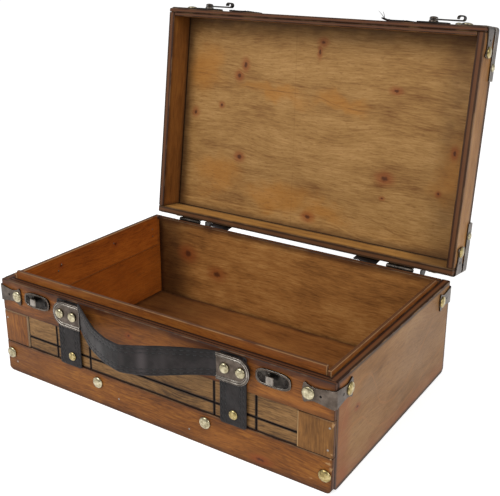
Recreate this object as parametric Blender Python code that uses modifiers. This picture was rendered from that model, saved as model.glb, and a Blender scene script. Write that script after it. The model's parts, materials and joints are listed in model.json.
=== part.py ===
"""A small wooden suitcase with its lid open, in metres, +Z up, front facing -Y.

The origin is the middle of the base's underside. Pieces of the lid are placed as on the closed box,
under an empty on the hinge axis that swings them open. Hardware on the front is drawn flat, with X to
the right, Y up and Z standing out of the wood, and then turned to face the front.
"""

import math

import bmesh
import bpy
from mathutils import Matrix, Vector

# Clearance between pieces that touch.
FIT = 0.0003

# The closed box.
BOX_LENGTH = 0.350
BOX_DEPTH = 0.226
BASE_HEIGHT = 0.094
LID_HEIGHT = 0.033
LID_GAP = 0.0005
LID_OPEN_DEG = 98.0
EDGE_EASE = 0.0006
CORNER_ROUND = 0.0015
FOOT_ROUND = 0.005

# Base boards.
FACING_T = 0.004
RAIL_WIDTH = 0.031
STILE_WIDTH = 0.031
FRONT_PANEL_T = 0.004
WINDOW_RECESS = 0.001
GROOVE_WIDTH = 0.0013
GROOVE_DEPTH = 0.001
LONG_GROOVE_Z = 0.043
CROSS_GROOVES_X = (0.0672, 0.1073)
SIDE_T = 0.008
BACK_T = 0.006
FLOOR_T = 0.004

# Lips, the strips inside the base that the lid closes over.
LIP_T = 0.0033
LIP_DROP = 0.031
FRONT_LIP_RISE = 0.0075
SIDE_LIP_RISE = 0.004
LIP_BACK_GAP = 0.006
LIP_ROUND = 0.0035

# Lid boards.
LID_PANEL_T = 0.004
LID_FRONT_T = 0.0036
LID_SIDE_T = 0.007
LID_BACK_T = 0.007

# Sheet metal and its domed tacks.
SHEET_T = 0.0012
TACK_RISE = 0.0018
TACK_EDGE = 0.0003

# Folded brackets on the eight corners beside the parting line.
BRACKET_LEG = 0.0265
BRACKET_FROM_RIM = 0.0129
BRACKET_FOLD_HEIGHT = 0.0152
BRACKET_NECK_HEIGHT = 0.011
BRACKET_NECK_AT = 0.0165
BRACKET_FLARE_HEIGHT = 0.0168
BRACKET_FLARE_AT = 0.0245
BRACKET_FLARE_CURVE = 1.8
BRACKET_HOLE_AT = 0.011
BRACKET_HOLE_R = 0.0011
BRACKET_TACK_AT = 0.0214
BRACKET_TACK_R = 0.0052

# Caps on the four top corners of the lid.
CAP_LEG = 0.047
CAP_FLANGE = 0.008
CAP_TIP = 0.004
CAP_THROAT = 0.017
CAP_SIDE_TACK_AT = 0.0345
CAP_SIDE_TACK_R = 0.0037
CAP_TOP_TACK_AT = 0.0095
CAP_TOP_TACK_R = 0.0045

# Leather straps over base and lid.
STRAP_WIDTH = 0.0254
STRAP_T = 0.0015
STRAP_LEFT_INSET = 0.086
STRAP_RIGHT_INSET = 0.088
BASE_STRAP_LOW = 0.030
BASE_STRAP_BELOW_RIM = 0.0008
STRAP_TACK_Z = 0.0400
STRAP_TACK_R = 0.0045
STRAP_TACK_RISE = 0.0022
LID_STRAP_FRONT_GAP = 0.006
LID_STRAP_BACK_GAP = 0.003

# Leather handle between two riveted plates.
HANDLE_FROM_RIM = 0.0125
HANDLE_WIDTH = 0.0226
HANDLE_T = 0.0020
HANDLE_RISE = 0.0315
HANDLE_FULLNESS = 0.8
HANDLE_STEPS = 36
HANDLE_END_MARGIN = 0.0006
HANDLE_TAPER_SHARE = 0.1
GRIP_PLATE_LENGTH = 0.0310
GRIP_PLATE_HEIGHT = 0.0232
GRIP_PLATE_T = 0.0010
GRIP_BEAD_WIDTH = 0.0032
GRIP_BEAD_RISE = 0.0007
GRIP_BEAD_SPLIT = 0.0006
GRIP_FROM_LEFT_STRAP = -0.0018
GRIP_FROM_RIGHT_STRAP = -0.0024
RIVET_SPACING = 0.015
RIVET_END_INSET = 0.008
RIVET_HEAD_R = 0.0045
RIVET_HEAD_RISE = 0.0024
RIVET_SHANK_R = 0.0015

# Domed tacks along the bottom rail, with their heights from left to right.
RAIL_TACK_R = 0.0054
RAIL_TACK_RISE = 0.0026
RAIL_TACK_END_INSET = 0.006
RAIL_TACK_MIDDLE_X = 0.0586
RAIL_TACK_HEIGHTS = (0.0195, 0.0218, 0.0219, 0.0154)

# Latches: a plate with a riveted arm on the lid, and a catch with a folded tab on the base.
LATCH_LEFT_INSET = 0.0475
LATCH_RIGHT_INSET = 0.0515
LATCH_RISE = 0.008
LATCH_TO_CATCH = 0.020
OVAL_LENGTH = 0.031
OVAL_HEIGHT = 0.0142
OVAL_T = 0.0016
OVAL_RIM = 0.0014
OVAL_DISH = 0.0005
OVAL_SQUARENESS = 3.2
SCREW_AT = 0.0118
SCREW_HOLE_R = 0.0016
ARM_T = 0.0013
ARM_OUT = 0.0036
ARM_WIDTH = 0.0046
ARM_WAIST = 0.004
ARM_EYE_R = 0.0039
ARM_REACH = 0.030
ARM_CURL_LENGTH = 0.007
ARM_CURL_R = 0.0021
POST_R = 0.002
POST_BOSS_R = 0.0046
POST_CAP_R = 0.0039
POST_CAP_EDGE = 0.0004
POST_CAP_RISE = 0.0018
TAB_HEIGHT = 0.006
TAB_RISE = 0.001
TAB_ROOT_GAP = 0.0008
TAB_HOLD = 0.0039
TAB_FLARE = 0.0012

# Hinges on the back, and the angle brackets that stop the lid beside them.
HINGE_LEFT_INSET = 0.046
HINGE_RIGHT_INSET = 0.052
HINGE_LENGTH = 0.026
HINGE_LEAF_HEIGHT = 0.015
HINGE_SCREW_AT = 0.0065
HINGE_SHEET_T = 0.001
KNUCKLES = 3
KNUCKLE_R = 0.0023
KNUCKLE_GAP = 0.0004
PIN_R = 0.001
PIN_HEAD_R = 0.0017
PIN_HEAD_T = 0.0008
STOP_FROM_HINGE = 0.0215
STOP_REACH = 0.0137
STOP_T = 0.0013
STOP_HEIGHT = 0.015
STOP_TIP = 0.003
STOP_FOLD_R = 0.0012
STOP_FOOT_WIDTH = 0.0065
STOP_FOOT_DROP = 0.0015

# Places that several pieces share.
LID_Z = BASE_HEIGHT + LID_GAP
TOP_Z = LID_Z + LID_HEIGHT
RIGHT = BOX_LENGTH / 2
BACK = BOX_DEPTH / 2
FRONT_STACK = FACING_T + FIT
HINGE_OUT = FIT + KNUCKLE_R
HINGE_AXIS = Vector((0, BACK + HINGE_OUT, BASE_HEIGHT + LID_GAP / 2))
STRAP_X = {"left": -(RIGHT - STRAP_LEFT_INSET), "right": RIGHT - STRAP_RIGHT_INSET}
GRIP_X = {"left": STRAP_X["left"] - GRIP_FROM_LEFT_STRAP, "right": STRAP_X["right"] - GRIP_FROM_RIGHT_STRAP}
LATCH_X = {"left": -(RIGHT - LATCH_LEFT_INSET), "right": RIGHT - LATCH_RIGHT_INSET}
HINGE_X = {"left": -(RIGHT - HINGE_LEFT_INSET), "right": RIGHT - HINGE_RIGHT_INSET}
STRAP_OUT = FIT + STRAP_T
LEATHER_OUT = STRAP_OUT + FIT
GRIP_OUT = LEATHER_OUT + HANDLE_T + FIT
HANDLE_Z = BASE_HEIGHT - HANDLE_FROM_RIM
RIVET_OUTER = RIVET_END_INSET - GRIP_PLATE_LENGTH / 2
RIVET_PLACES = (RIVET_OUTER, RIVET_OUTER + RIVET_SPACING)

# How far a Boolean's operands run past or into the piece that they cut or join.
SINK = 0.0004
OVERRUN = 0.01

# Facets of a square fold in sheet metal, of a board's rounded edge and of the sheet metal's outlines.
FOLD_STEPS = 3
ROUND_STEPS = 4
NECK_STEPS = 4
FLARE_STEPS = 3
TIP_STEPS = 3
HOLLOW_STEPS = 8

# Faces that meet at less than this angle count as one plane.
FLAT_DEG = 0.2

# Flat drawings turned to face the front, and profiles turned to run along X.
FACE_FRONT = Matrix.Rotation(math.radians(90), 4, "X")
ALONG_X = Matrix(((0, 0, 1, 0), (1, 0, 0, 0), (0, 1, 0, 0), (0, 0, 0, 1)))


def clear_scene():
    for obj in list(bpy.data.objects):
        bpy.data.objects.remove(obj, do_unlink=True)


def new_collection(name):
    collection = bpy.data.collections.new(name)
    bpy.context.scene.collection.children.link(collection)
    return collection


def new_material(name, color, roughness, metallic=0.0):
    """A Principled material in one colour."""
    material = bpy.data.materials.new(name)
    material.use_nodes = True
    shader = material.node_tree.nodes["Principled BSDF"]
    shader.inputs["Base Color"].default_value = (*color, 1.0)
    shader.inputs["Roughness"].default_value = roughness
    shader.inputs["Metallic"].default_value = metallic
    material.diffuse_color = (*color, 1.0)
    return material


clear_scene()
SUITCASE = new_collection("wooden_suitcase")
CUTTERS = new_collection("cutters")
STAINED_WOOD = new_material("stained_wood", (0.26, 0.085, 0.022), 0.45)
PANEL_WOOD = new_material("panel_wood", (0.29, 0.15, 0.06), 0.55)
SIDE_WOOD = new_material("side_wood", (0.36, 0.17, 0.065), 0.6)
INSIDE_WOOD = new_material("inside_wood", (0.35, 0.17, 0.055), 0.5)
LEATHER = new_material("dark_leather", (0.022, 0.02, 0.02), 0.55)
PEWTER = new_material("pewter_plate", (0.23, 0.21, 0.18), 0.4, 1.0)
BRASS = new_material("antique_brass", (0.38, 0.28, 0.13), 0.35, 1.0)
DARK_STEEL = new_material("dark_steel", (0.07, 0.06, 0.055), 0.45, 1.0)


def tidy_mesh(mesh):
    """Welds what a curve leaves loose, merges faces that lie in one plane and turns every face outwards."""
    bm = bmesh.new()
    bm.from_mesh(mesh)
    bmesh.ops.remove_doubles(bm, verts=bm.verts, dist=1e-6)
    bmesh.ops.dissolve_limit(bm, angle_limit=math.radians(FLAT_DEG), verts=bm.verts, edges=bm.edges)
    bmesh.ops.recalc_face_normals(bm, faces=bm.faces)
    bm.to_mesh(mesh)
    bm.free()
    return mesh


def evaluated_mesh(obj):
    """The object's mesh after its modifiers; the object is removed."""
    bpy.context.scene.collection.objects.link(obj)
    graph = bpy.context.evaluated_depsgraph_get()
    mesh = bpy.data.meshes.new_from_object(obj.evaluated_get(graph))
    bpy.data.objects.remove(obj, do_unlink=True)
    return tidy_mesh(mesh)


def moved(mesh, matrix):
    """A copy of the mesh, moved by the matrix."""
    copy = mesh.copy()
    copy.transform(matrix)
    return copy


def combined(mesh, others, operation):
    """The mesh joined with the others, or cut by them."""
    obj = bpy.data.objects.new("combined", mesh)
    helpers = []
    for other in others:
        helper = bpy.data.objects.new("operand", other)
        bpy.context.scene.collection.objects.link(helper)
        helpers.append(helper)
        boolean = obj.modifiers.new("boolean", "BOOLEAN")
        boolean.operation = operation
        boolean.object = helper
    result = evaluated_mesh(obj)
    for helper in helpers:
        bpy.data.objects.remove(helper, do_unlink=True)
    return result


def joined(mesh, *others):
    return combined(mesh, others, "UNION")


def cut(mesh, *others):
    return combined(mesh, others, "DIFFERENCE")


def box_mesh(size, rounds=()):
    """A box about the origin. Each round names an axis, the side signs of its edges, and a radius."""
    bm = bmesh.new()
    bmesh.ops.create_cube(bm, size=1.0)
    bmesh.ops.scale(bm, vec=size, verts=bm.verts)
    for axis, signs, radius in rounds:
        edges = [edge for edge in bm.edges if on_corner(edge, axis, signs)]
        bmesh.ops.bevel(
            bm, geom=edges, offset=radius, segments=ROUND_STEPS, profile=0.5, affect="EDGES"
        )
    mesh = bpy.data.meshes.new("box")
    bm.to_mesh(mesh)
    bm.free()
    return mesh


def on_corner(edge, axis, signs):
    """Whether the edge runs along the axis, on the side of the middle that the signs name."""
    run = edge.verts[1].co - edge.verts[0].co
    middle = (edge.verts[0].co + edge.verts[1].co) / 2
    along = abs(run[axis]) > 0.99 * run.length
    return along and all(sign * value > 0 for sign, value in zip(signs, middle) if sign)


def flat_mesh(outlines, thickness, low=None):
    """A flat plate from an outline and its holes; its thickness is centred, or starts at low."""
    curve = bpy.data.curves.new("outline", "CURVE")
    curve.dimensions = "2D"
    curve.fill_mode = "BOTH"
    curve.extrude = thickness / 2
    for points in outlines:
        spline = curve.splines.new("POLY")
        spline.points.add(len(points) - 1)
        for point, (x, y) in zip(spline.points, points):
            point.co = (x, y, 0, 1)
        spline.use_cyclic_u = True
    mesh = evaluated_mesh(bpy.data.objects.new("outline", curve))
    if low is not None:
        mesh.transform(Matrix.Translation((0, 0, low + thickness / 2)))
    return mesh


def arc(center, radius, start_deg, end_deg, steps):
    """Points along an arc, both ends included."""
    angles = [math.radians(start_deg + (end_deg - start_deg) * i / steps) for i in range(steps + 1)]
    return [(center[0] + radius * math.cos(a), center[1] + radius * math.sin(a)) for a in angles]


def circle(center, radius, steps=12):
    return arc(center, radius, 0, 360, steps)[:-1]


def rounded_rectangle(width, height, radius, steps=3):
    """A rectangle about the origin with four equal round corners."""
    points = []
    for turn, (side, end) in enumerate(((1, 1), (-1, 1), (-1, -1), (1, -1))):
        center = (side * (width / 2 - radius), end * (height / 2 - radius))
        points += arc(center, radius, 90 * turn, 90 * turn + 90, steps)
    return points


def oval(length, height, steps=28):
    """A rounded oval, fuller than an ellipse."""
    points = []
    for i in range(steps):
        angle = 2 * math.pi * i / steps
        c, s = math.cos(angle), math.sin(angle)
        x = math.copysign(abs(c) ** (2 / OVAL_SQUARENESS), c) * length / 2
        y = math.copysign(abs(s) ** (2 / OVAL_SQUARENESS), s) * height / 2
        points.append((x, y))
    return points


def ribbon(path, thickness):
    """The outline of a strip of even thickness along a path."""
    sides = ([], [])
    for i, point in enumerate(path):
        here = Vector(point)
        before = (here - Vector(path[max(i - 1, 0)])).normalized()
        after = (Vector(path[min(i + 1, len(path) - 1)]) - here).normalized()
        along = (before + after).normalized()
        across = Vector((-along.y, along.x))
        lean = max(across.dot(Vector((-after.y, after.x)) if after.length else across), 0.5)
        if i == 0 or i == len(path) - 1:
            lean = 1.0
        sides[0].append(tuple(here + across * thickness / 2 / lean))
        sides[1].append(tuple(here - across * thickness / 2 / lean))
    return sides[0] + sides[1][::-1]


def turned(profile, steps=16):
    """A solid turned about Z from (radius, height) points that run down its outer side."""
    mesh = bpy.data.meshes.new("profile")
    points = [(radius, 0, height) for radius, height in profile]
    mesh.from_pydata(points, [(i, i + 1) for i in range(len(points) - 1)], [])
    obj = bpy.data.objects.new("profile", mesh)
    screw = obj.modifiers.new("turn", "SCREW")
    screw.steps = steps
    screw.render_steps = steps
    screw.use_merge_vertices = True
    screw.merge_threshold = 1e-6
    return evaluated_mesh(obj)


def dome(radius, rise, sink=SINK, steps=12):
    """A domed tack head about the origin; its edge sinks a little into what it is joined to."""
    height = rise - TACK_EDGE
    ball = (radius**2 + height**2) / (2 * height)
    half = math.degrees(math.asin(radius / ball))
    rings = [(x, y - ball + rise) for x, y in arc((0, 0), ball, 90, 90 - half, 3)]
    rings[0] = (0, rise)
    return turned([*rings, (radius, -sink), (0, -sink)], steps)


def shade_smooth(mesh, angle_deg=35):
    mesh.shade_smooth()
    mesh.set_sharp_from_angle(angle=math.radians(angle_deg))


def add_object(name, mesh, finish, place, parent=None):
    """One named piece; place is its matrix, on the closed box for a piece of the lid."""
    obj = bpy.data.objects.new(name, mesh)
    mesh.materials.clear()
    mesh.materials.append(finish)
    SUITCASE.objects.link(obj)
    obj.matrix_world = place
    if parent:
        obj.parent = parent
        obj.matrix_parent_inverse = Matrix.Translation(-HINGE_AXIS)
    return obj


def add_cutter(name, size, middle):
    """A box that cuts other pieces and isn't one itself."""
    obj = bpy.data.objects.new(name, box_mesh(size))
    CUTTERS.objects.link(obj)
    obj.location = middle
    obj.hide_render = True
    obj.display_type = "WIRE"
    return obj


def board(name, low, high, finish, parent=None, rounds=()):
    """A board between two corners, with every sharp edge eased."""
    size = [b - a for a, b in zip(low, high)]
    middle = [(a + b) / 2 for a, b in zip(low, high)]
    obj = add_object(name, box_mesh(size, rounds), finish, Matrix.Translation(middle), parent)
    ease = obj.modifiers.new("ease", "BEVEL")
    ease.width = EDGE_EASE
    ease.segments = 1
    ease.limit_method = "ANGLE"
    ease.angle_limit = math.radians(60)
    return obj


def bent(mesh, cuts, place):
    """A flat plate cut across at each x in cuts, with every point then moved by place."""
    bm = bmesh.new()
    bm.from_mesh(mesh)
    for x in cuts:
        geometry = [*bm.verts, *bm.edges, *bm.faces]
        bmesh.ops.bisect_plane(bm, geom=geometry, dist=1e-7, plane_co=(x, 0, 0), plane_no=(1, 0, 0))
    bmesh.ops.triangulate(bm, faces=bm.faces)
    for vert in bm.verts:
        vert.co = place(vert.co)
    bm.to_mesh(mesh)
    bm.free()
    return tidy_mesh(mesh)


def square_fold(corner, middle_r):
    """A sheet folded square about Z, with one leg along -X and the other along +Y from a corner.

    The corner is where the legs' middle planes meet. It gives a function from a distance beyond the
    corner to the place on the flat sheet, the cuts that the fold needs, and the fold.
    """
    half = middle_r * math.pi / 4
    center = Vector((corner[0] - middle_r, corner[1] + middle_r))
    cuts = [half * (2 * i / FOLD_STEPS - 1) for i in range(FOLD_STEPS + 1)]

    def along(distance):
        return distance - middle_r + half

    def fold(point):
        out = middle_r + point.z
        if point.x < -half:
            return Vector((center.x + point.x + half, center.y - out, point.y))
        if point.x > half:
            return Vector((center.x + out, center.y + point.x - half, point.y))
        angle = point.x / middle_r - math.pi / 4
        return Vector((center.x + out * math.cos(angle), center.y + out * math.sin(angle), point.y))

    return along, cuts, fold


def follow(route):
    """The lengths along a route at its points, and a function that lays a flat strip on the route.

    The route's points are (x, out). The strip runs along X, and its Z becomes the side away from the wood.
    """
    lengths = [0.0]
    for before, after in zip(route, route[1:]):
        lengths.append(lengths[-1] + (after - before).length)
    last = len(route) - 1
    tangents = [(route[min(i + 1, last)] - route[max(i - 1, 0)]).normalized() for i in range(last + 1)]

    def place(point):
        u = min(max(point.x, 0.0), lengths[-1])
        k = min(max(i for i, length in enumerate(lengths) if length <= u + 1e-9), last - 1)
        share = (u - lengths[k]) / (lengths[k + 1] - lengths[k])
        here = route[k].lerp(route[k + 1], share)
        tangent = tangents[k].lerp(tangents[k + 1], share).normalized()
        return Vector((here.x - tangent.y * point.z, point.y, here.y + tangent.x * point.z))

    return lengths, place


def on_front(x, z):
    """The place of hardware drawn flat, on the base's or the closed lid's front."""
    return Matrix.Translation((x, -BACK, z)) @ FACE_FRONT


def build_base():
    """The base's boards, the framed front over its grooved panel, and the floor."""
    left_corner = (2, (-1, -1, 0), CORNER_ROUND)
    right_corner = (2, (1, -1, 0), CORNER_ROUND)
    feet = ((1, (-1, 0, -1), FOOT_ROUND), (1, (1, 0, -1), FOOT_ROUND))
    face = (-BACK, -BACK + FACING_T)
    top_rail_z = BASE_HEIGHT - RAIL_WIDTH
    board("front_bottom_rail", (-RIGHT, face[0], 0), (RIGHT, face[1], RAIL_WIDTH), STAINED_WOOD,
          rounds=(*feet, left_corner, right_corner))
    board("front_top_rail", (-RIGHT, face[0], top_rail_z), (RIGHT, face[1], BASE_HEIGHT), STAINED_WOOD,
          rounds=(left_corner, right_corner))
    for side, sign, corner in (("left", -1, left_corner), ("right", 1, right_corner)):
        ends = sorted((sign * RIGHT, sign * (RIGHT - STILE_WIDTH)))
        board(f"front_stile_{side}", (ends[0], face[0], RAIL_WIDTH + FIT),
              (ends[1], face[1], top_rail_z - FIT), STAINED_WOOD, rounds=(corner,))

    inner_x = RIGHT - SIDE_T - FIT
    panel_y = -BACK + FRONT_STACK
    panel_back = panel_y + FRONT_PANEL_T
    front_panel(inner_x, panel_y, panel_back, top_rail_z)
    for side, sign in (("left", -1), ("right", 1)):
        ends = sorted((sign * RIGHT, sign * (RIGHT - SIDE_T)))
        rounds = ((0, (0, -1, -1), FOOT_ROUND), (0, (0, 1, -1), FOOT_ROUND), (2, (sign, 1, 0), CORNER_ROUND))
        board(f"base_side_{side}", (ends[0], panel_y, 0), (ends[1], BACK, BASE_HEIGHT), SIDE_WOOD,
              rounds=rounds)
    board("base_back_board", (-inner_x, BACK - BACK_T, 0), (inner_x, BACK, BASE_HEIGHT), INSIDE_WOOD)
    board("base_floor", (-inner_x, panel_back + FIT, 0), (inner_x, BACK - BACK_T - FIT, FLOOR_T),
          INSIDE_WOOD)
    build_lips(panel_back + FIT)


def front_panel(inner_x, panel_y, panel_back, top_rail_z):
    """The board behind the front frame; its field fills the frame's window and carries the grooves."""
    middle_z = BASE_HEIGHT / 2
    size = (2 * inner_x, panel_back - panel_y, BASE_HEIGHT)
    body = moved(box_mesh(size), Matrix.Translation((0, (panel_y + panel_back) / 2, middle_z)))
    field_front = -BACK + WINDOW_RECESS
    field_back = panel_y + FRONT_PANEL_T / 2
    field_half = RIGHT - STILE_WIDTH - FIT
    field_low = RAIL_WIDTH + FIT
    field_high = top_rail_z - FIT
    field = box_mesh((2 * field_half, field_back - field_front, field_high - field_low))
    field_middle = (0, (field_front + field_back) / 2, (field_low + field_high) / 2)
    mesh = joined(body, moved(field, Matrix.Translation(field_middle)))
    panel = add_object("base_front_panel", mesh, PANEL_WOOD, Matrix())

    groove_y = field_front - OVERRUN / 2 + GROOVE_DEPTH
    long_size = (2 * field_half + OVERRUN, OVERRUN, GROOVE_WIDTH)
    cross_size = (GROOVE_WIDTH, OVERRUN, field_high - field_low)
    cutters = [add_cutter("long_groove", long_size, (0, groove_y, LONG_GROOVE_Z))]
    for x in CROSS_GROOVES_X:
        for sign in (-1, 1):
            middle = (sign * x, groove_y, (field_low + field_high) / 2)
            cutters.append(add_cutter("cross_groove", cross_size, middle))
    for cutter in cutters:
        groove = panel.modifiers.new(cutter.name, "BOOLEAN")
        groove.operation = "DIFFERENCE"
        groove.object = cutter


def build_lips(front_y):
    """Three thin strips that stand above the rim and guide the lid."""
    side_x = RIGHT - SIDE_T - FIT
    low = BASE_HEIGHT - LIP_DROP
    front_half = side_x - LIP_T - FIT
    front_top = BASE_HEIGHT + FRONT_LIP_RISE
    board("lip_front", (-front_half, front_y, low), (front_half, front_y + LIP_T, front_top), INSIDE_WOOD)
    back_end = BACK - BACK_T - LIP_BACK_GAP
    for side, sign in (("left", -1), ("right", 1)):
        ends = sorted((sign * side_x, sign * (side_x - LIP_T)))
        board(f"lip_{side}", (ends[0], front_y, low), (ends[1], back_end, BASE_HEIGHT + SIDE_LIP_RISE),
              INSIDE_WOOD, rounds=((0, (0, 1, 1), LIP_ROUND),))


def build_lid(lid):
    """The lid's tray: a top panel on four walls, the front one faced like the base."""
    panel_low = TOP_Z - LID_PANEL_T
    corners = [(2, (x, y, 0), CORNER_ROUND) for x in (-1, 1) for y in (-1, 1)]
    board("lid_panel", (-RIGHT, -BACK, panel_low), (RIGHT, BACK, TOP_Z), INSIDE_WOOD, lid, rounds=corners)
    wall_top = panel_low - FIT
    board("lid_front_facing", (-RIGHT, -BACK, LID_Z), (RIGHT, -BACK + FACING_T, wall_top), STAINED_WOOD, lid,
          rounds=corners[::2])
    wall_front = -BACK + FRONT_STACK
    inner_x = RIGHT - LID_SIDE_T - FIT
    board("lid_front_board", (-inner_x, wall_front, LID_Z), (inner_x, wall_front + LID_FRONT_T, wall_top),
          INSIDE_WOOD, lid)
    back_y = BACK - LID_BACK_T
    board("lid_back_board", (-RIGHT, back_y, LID_Z), (RIGHT, BACK, wall_top), INSIDE_WOOD, lid,
          rounds=corners[1::2])
    for side, sign in (("left", -1), ("right", 1)):
        ends = sorted((sign * RIGHT, sign * (RIGHT - LID_SIDE_T)))
        board(f"lid_side_{side}", (ends[0], wall_front, LID_Z), (ends[1], back_y - FIT, wall_top),
              SIDE_WOOD, lid)


def bracket_mesh():
    """A corner bracket, drawn unfolded with axe-blade ends, folded round a corner at the origin.

    The wood lies at x < 0 and y > 0 of the corner, so one leg runs along -X and the other along +Y.
    """
    middle_out = FIT + SHEET_T / 2
    from_corner, cuts, fold = square_fold((middle_out, -middle_out), CORNER_ROUND + middle_out)

    def along(distance):
        """Where a point at this distance from the wood's corner lies on the unfolded sheet."""
        return from_corner(distance + middle_out)

    quarter = []
    neck, flare, end = along(BRACKET_NECK_AT), along(BRACKET_FLARE_AT), along(BRACKET_LEG)
    for i in range(NECK_STEPS + 1):
        share = (1 + math.cos(math.pi * i / NECK_STEPS)) / 2
        height = BRACKET_NECK_HEIGHT + (BRACKET_FOLD_HEIGHT - BRACKET_NECK_HEIGHT) * share
        quarter.append((neck * i / NECK_STEPS, height / 2))
    for i in range(1, FLARE_STEPS + 1):
        share = (i / FLARE_STEPS) ** BRACKET_FLARE_CURVE
        height = BRACKET_NECK_HEIGHT + (BRACKET_FLARE_HEIGHT - BRACKET_NECK_HEIGHT) * share
        quarter.append((neck + (flare - neck) * i / FLARE_STEPS, height / 2))
    for i in range(1, TIP_STEPS + 1):
        turn = math.pi / 2 * i / TIP_STEPS
        quarter.append((flare + (end - flare) * math.sin(turn), BRACKET_FLARE_HEIGHT / 2 * math.cos(turn)))
    right = quarter + [(x, -y) for x, y in quarter[-2::-1]]
    outline = right + [(-x, y) for x, y in right[-2:0:-1]]
    holes = [circle((sign * along(BRACKET_HOLE_AT), 0), BRACKET_HOLE_R, 8) for sign in (-1, 1)]

    sheet = bent(flat_mesh([outline, *holes], SHEET_T), cuts, fold)
    head = dome(BRACKET_TACK_R, TACK_RISE)
    sheet_out = FIT + SHEET_T
    on_first_leg = Matrix.Translation((-BRACKET_TACK_AT, -sheet_out, 0)) @ FACE_FRONT
    on_second_leg = Matrix.Rotation(math.radians(90), 4, "Z") @ Matrix.Translation(
        (BRACKET_TACK_AT, -sheet_out, 0)) @ FACE_FRONT
    mesh = joined(sheet, moved(head, on_first_leg), moved(head, on_second_leg))
    shade_smooth(mesh)
    return mesh


def cap_mesh():
    """A cap for a top corner of the lid: a hollow-sided triangle with two turned-down flanges."""
    out = FIT + SHEET_T

    def corner(offset, reach):
        """The corner's outline at an offset from the wood, with legs of the given reach."""
        round_corner = arc((-CORNER_ROUND, CORNER_ROUND), CORNER_ROUND + offset, -90, 0, 4)
        return [(-reach, -offset), *round_corner, (offset, reach)]

    start = Vector((CAP_TIP, CAP_LEG)) - Vector((2 * CAP_TIP, 0))
    finish = Vector((-start.y, -start.x))
    throat = Vector((-CAP_THROAT, CAP_THROAT))
    hollow = []
    for i in range(HOLLOW_STEPS + 1):
        share = i / HOLLOW_STEPS
        bend = throat * 2 - (start + finish) / 2
        point = start * (1 - share) ** 2 + bend * 2 * share * (1 - share) + finish * share**2
        hollow.append(tuple(point))
    body = flat_mesh([corner(out, CAP_LEG) + hollow], CAP_FLANGE + out, low=-CAP_FLANGE)
    reach = CAP_LEG + OVERRUN
    wood = flat_mesh([corner(FIT, reach) + [(-reach, reach)]], CAP_FLANGE + OVERRUN + FIT,
                     low=-CAP_FLANGE - OVERRUN)
    shell = cut(body, wood)
    side_head = dome(CAP_SIDE_TACK_R, TACK_RISE)
    first = Matrix.Translation((-CAP_SIDE_TACK_AT, -out, -CAP_FLANGE / 2)) @ FACE_FRONT
    second = Matrix.Rotation(math.radians(90), 4, "Z") @ Matrix.Translation(
        (CAP_SIDE_TACK_AT, -out, -CAP_FLANGE / 2)) @ FACE_FRONT
    top = Matrix.Translation((-CAP_TOP_TACK_AT, CAP_TOP_TACK_AT, out))
    mesh = joined(shell, moved(side_head, first), moved(side_head, second),
                  moved(dome(CAP_TOP_TACK_R, TACK_RISE), top))
    shade_smooth(mesh)
    return mesh


def build_corner_metal(lid):
    """Brackets on base and lid and caps on the lid's top, one mesh turned to each corner."""
    bracket = bracket_mesh()
    cap = cap_mesh()
    corners = (("front_right", 1, -1), ("back_right", 1, 1), ("back_left", -1, 1), ("front_left", -1, -1))
    for turn, (corner, side, end) in enumerate(corners):
        spin = Matrix.Rotation(math.radians(90 * turn), 4, "Z")

        def at(z):
            return Matrix.Translation((side * RIGHT, end * BACK, z)) @ spin

        add_object(f"base_bracket_{corner}", bracket, PEWTER, at(BASE_HEIGHT - BRACKET_FROM_RIM))
        add_object(f"lid_bracket_{corner}", bracket, PEWTER, at(LID_Z + BRACKET_FROM_RIM), lid)
        add_object(f"lid_corner_cap_{corner}", cap, PEWTER, at(TOP_Z), lid)


def build_straps(lid):
    """A short strap below each end of the handle, and one over the lid in line with it."""
    base_top = BASE_HEIGHT - BASE_STRAP_BELOW_RIM
    middle_z = (base_top + BASE_STRAP_LOW) / 2
    outline = rounded_rectangle(STRAP_WIDTH, base_top - BASE_STRAP_LOW, STRAP_T)
    strip = flat_mesh([outline], STRAP_T, low=FIT)
    tack = dome(STRAP_TACK_R, STRAP_TACK_RISE)
    base_strap = joined(strip, moved(tack, Matrix.Translation((0, STRAP_TACK_Z - middle_z, STRAP_OUT))))
    shade_smooth(base_strap)

    bend_r = EDGE_EASE + FIT + STRAP_T / 2
    front, back = -BACK + EDGE_EASE, BACK - EDGE_EASE
    height = TOP_Z - EDGE_EASE
    path = [
        (front - bend_r, LID_Z + LID_STRAP_FRONT_GAP),
        *arc((front, height), bend_r, 180, 90, 5),
        *arc((back, height), bend_r, 90, 0, 5),
        (back + bend_r, LID_Z + LID_STRAP_BACK_GAP),
    ]
    lid_strap = moved(flat_mesh([ribbon(path, STRAP_T)], STRAP_WIDTH), ALONG_X)
    shade_smooth(lid_strap)
    for side, x in STRAP_X.items():
        add_object(f"base_strap_{side}", base_strap, LEATHER, on_front(x, middle_z))
        add_object(f"lid_strap_{side}", lid_strap, LEATHER, Matrix.Translation((x, 0, 0)), lid)


def grip_outline(inset=0.0, reach=0.0):
    """The handle plate's D shape, round on the left; reach lengthens its straight end."""
    radius = GRIP_PLATE_HEIGHT / 2
    center_x = -GRIP_PLATE_LENGTH / 2 + radius
    end_x = GRIP_PLATE_LENGTH / 2 + reach
    round_end = arc((center_x, 0), radius - inset, 90, 270, 12)
    return [(end_x, radius - inset), *round_end, (end_x, inset - radius)]


def rivet_holes(middles):
    """Clearance holes for the rivets of the left plate, or of the left and the right one, which faces it."""
    return [
        circle((middle + facing * place, 0), RIVET_SHANK_R + FIT)
        for middle, facing in zip(middles, (1, -1))
        for place in RIVET_PLACES[::facing]
    ]


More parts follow.
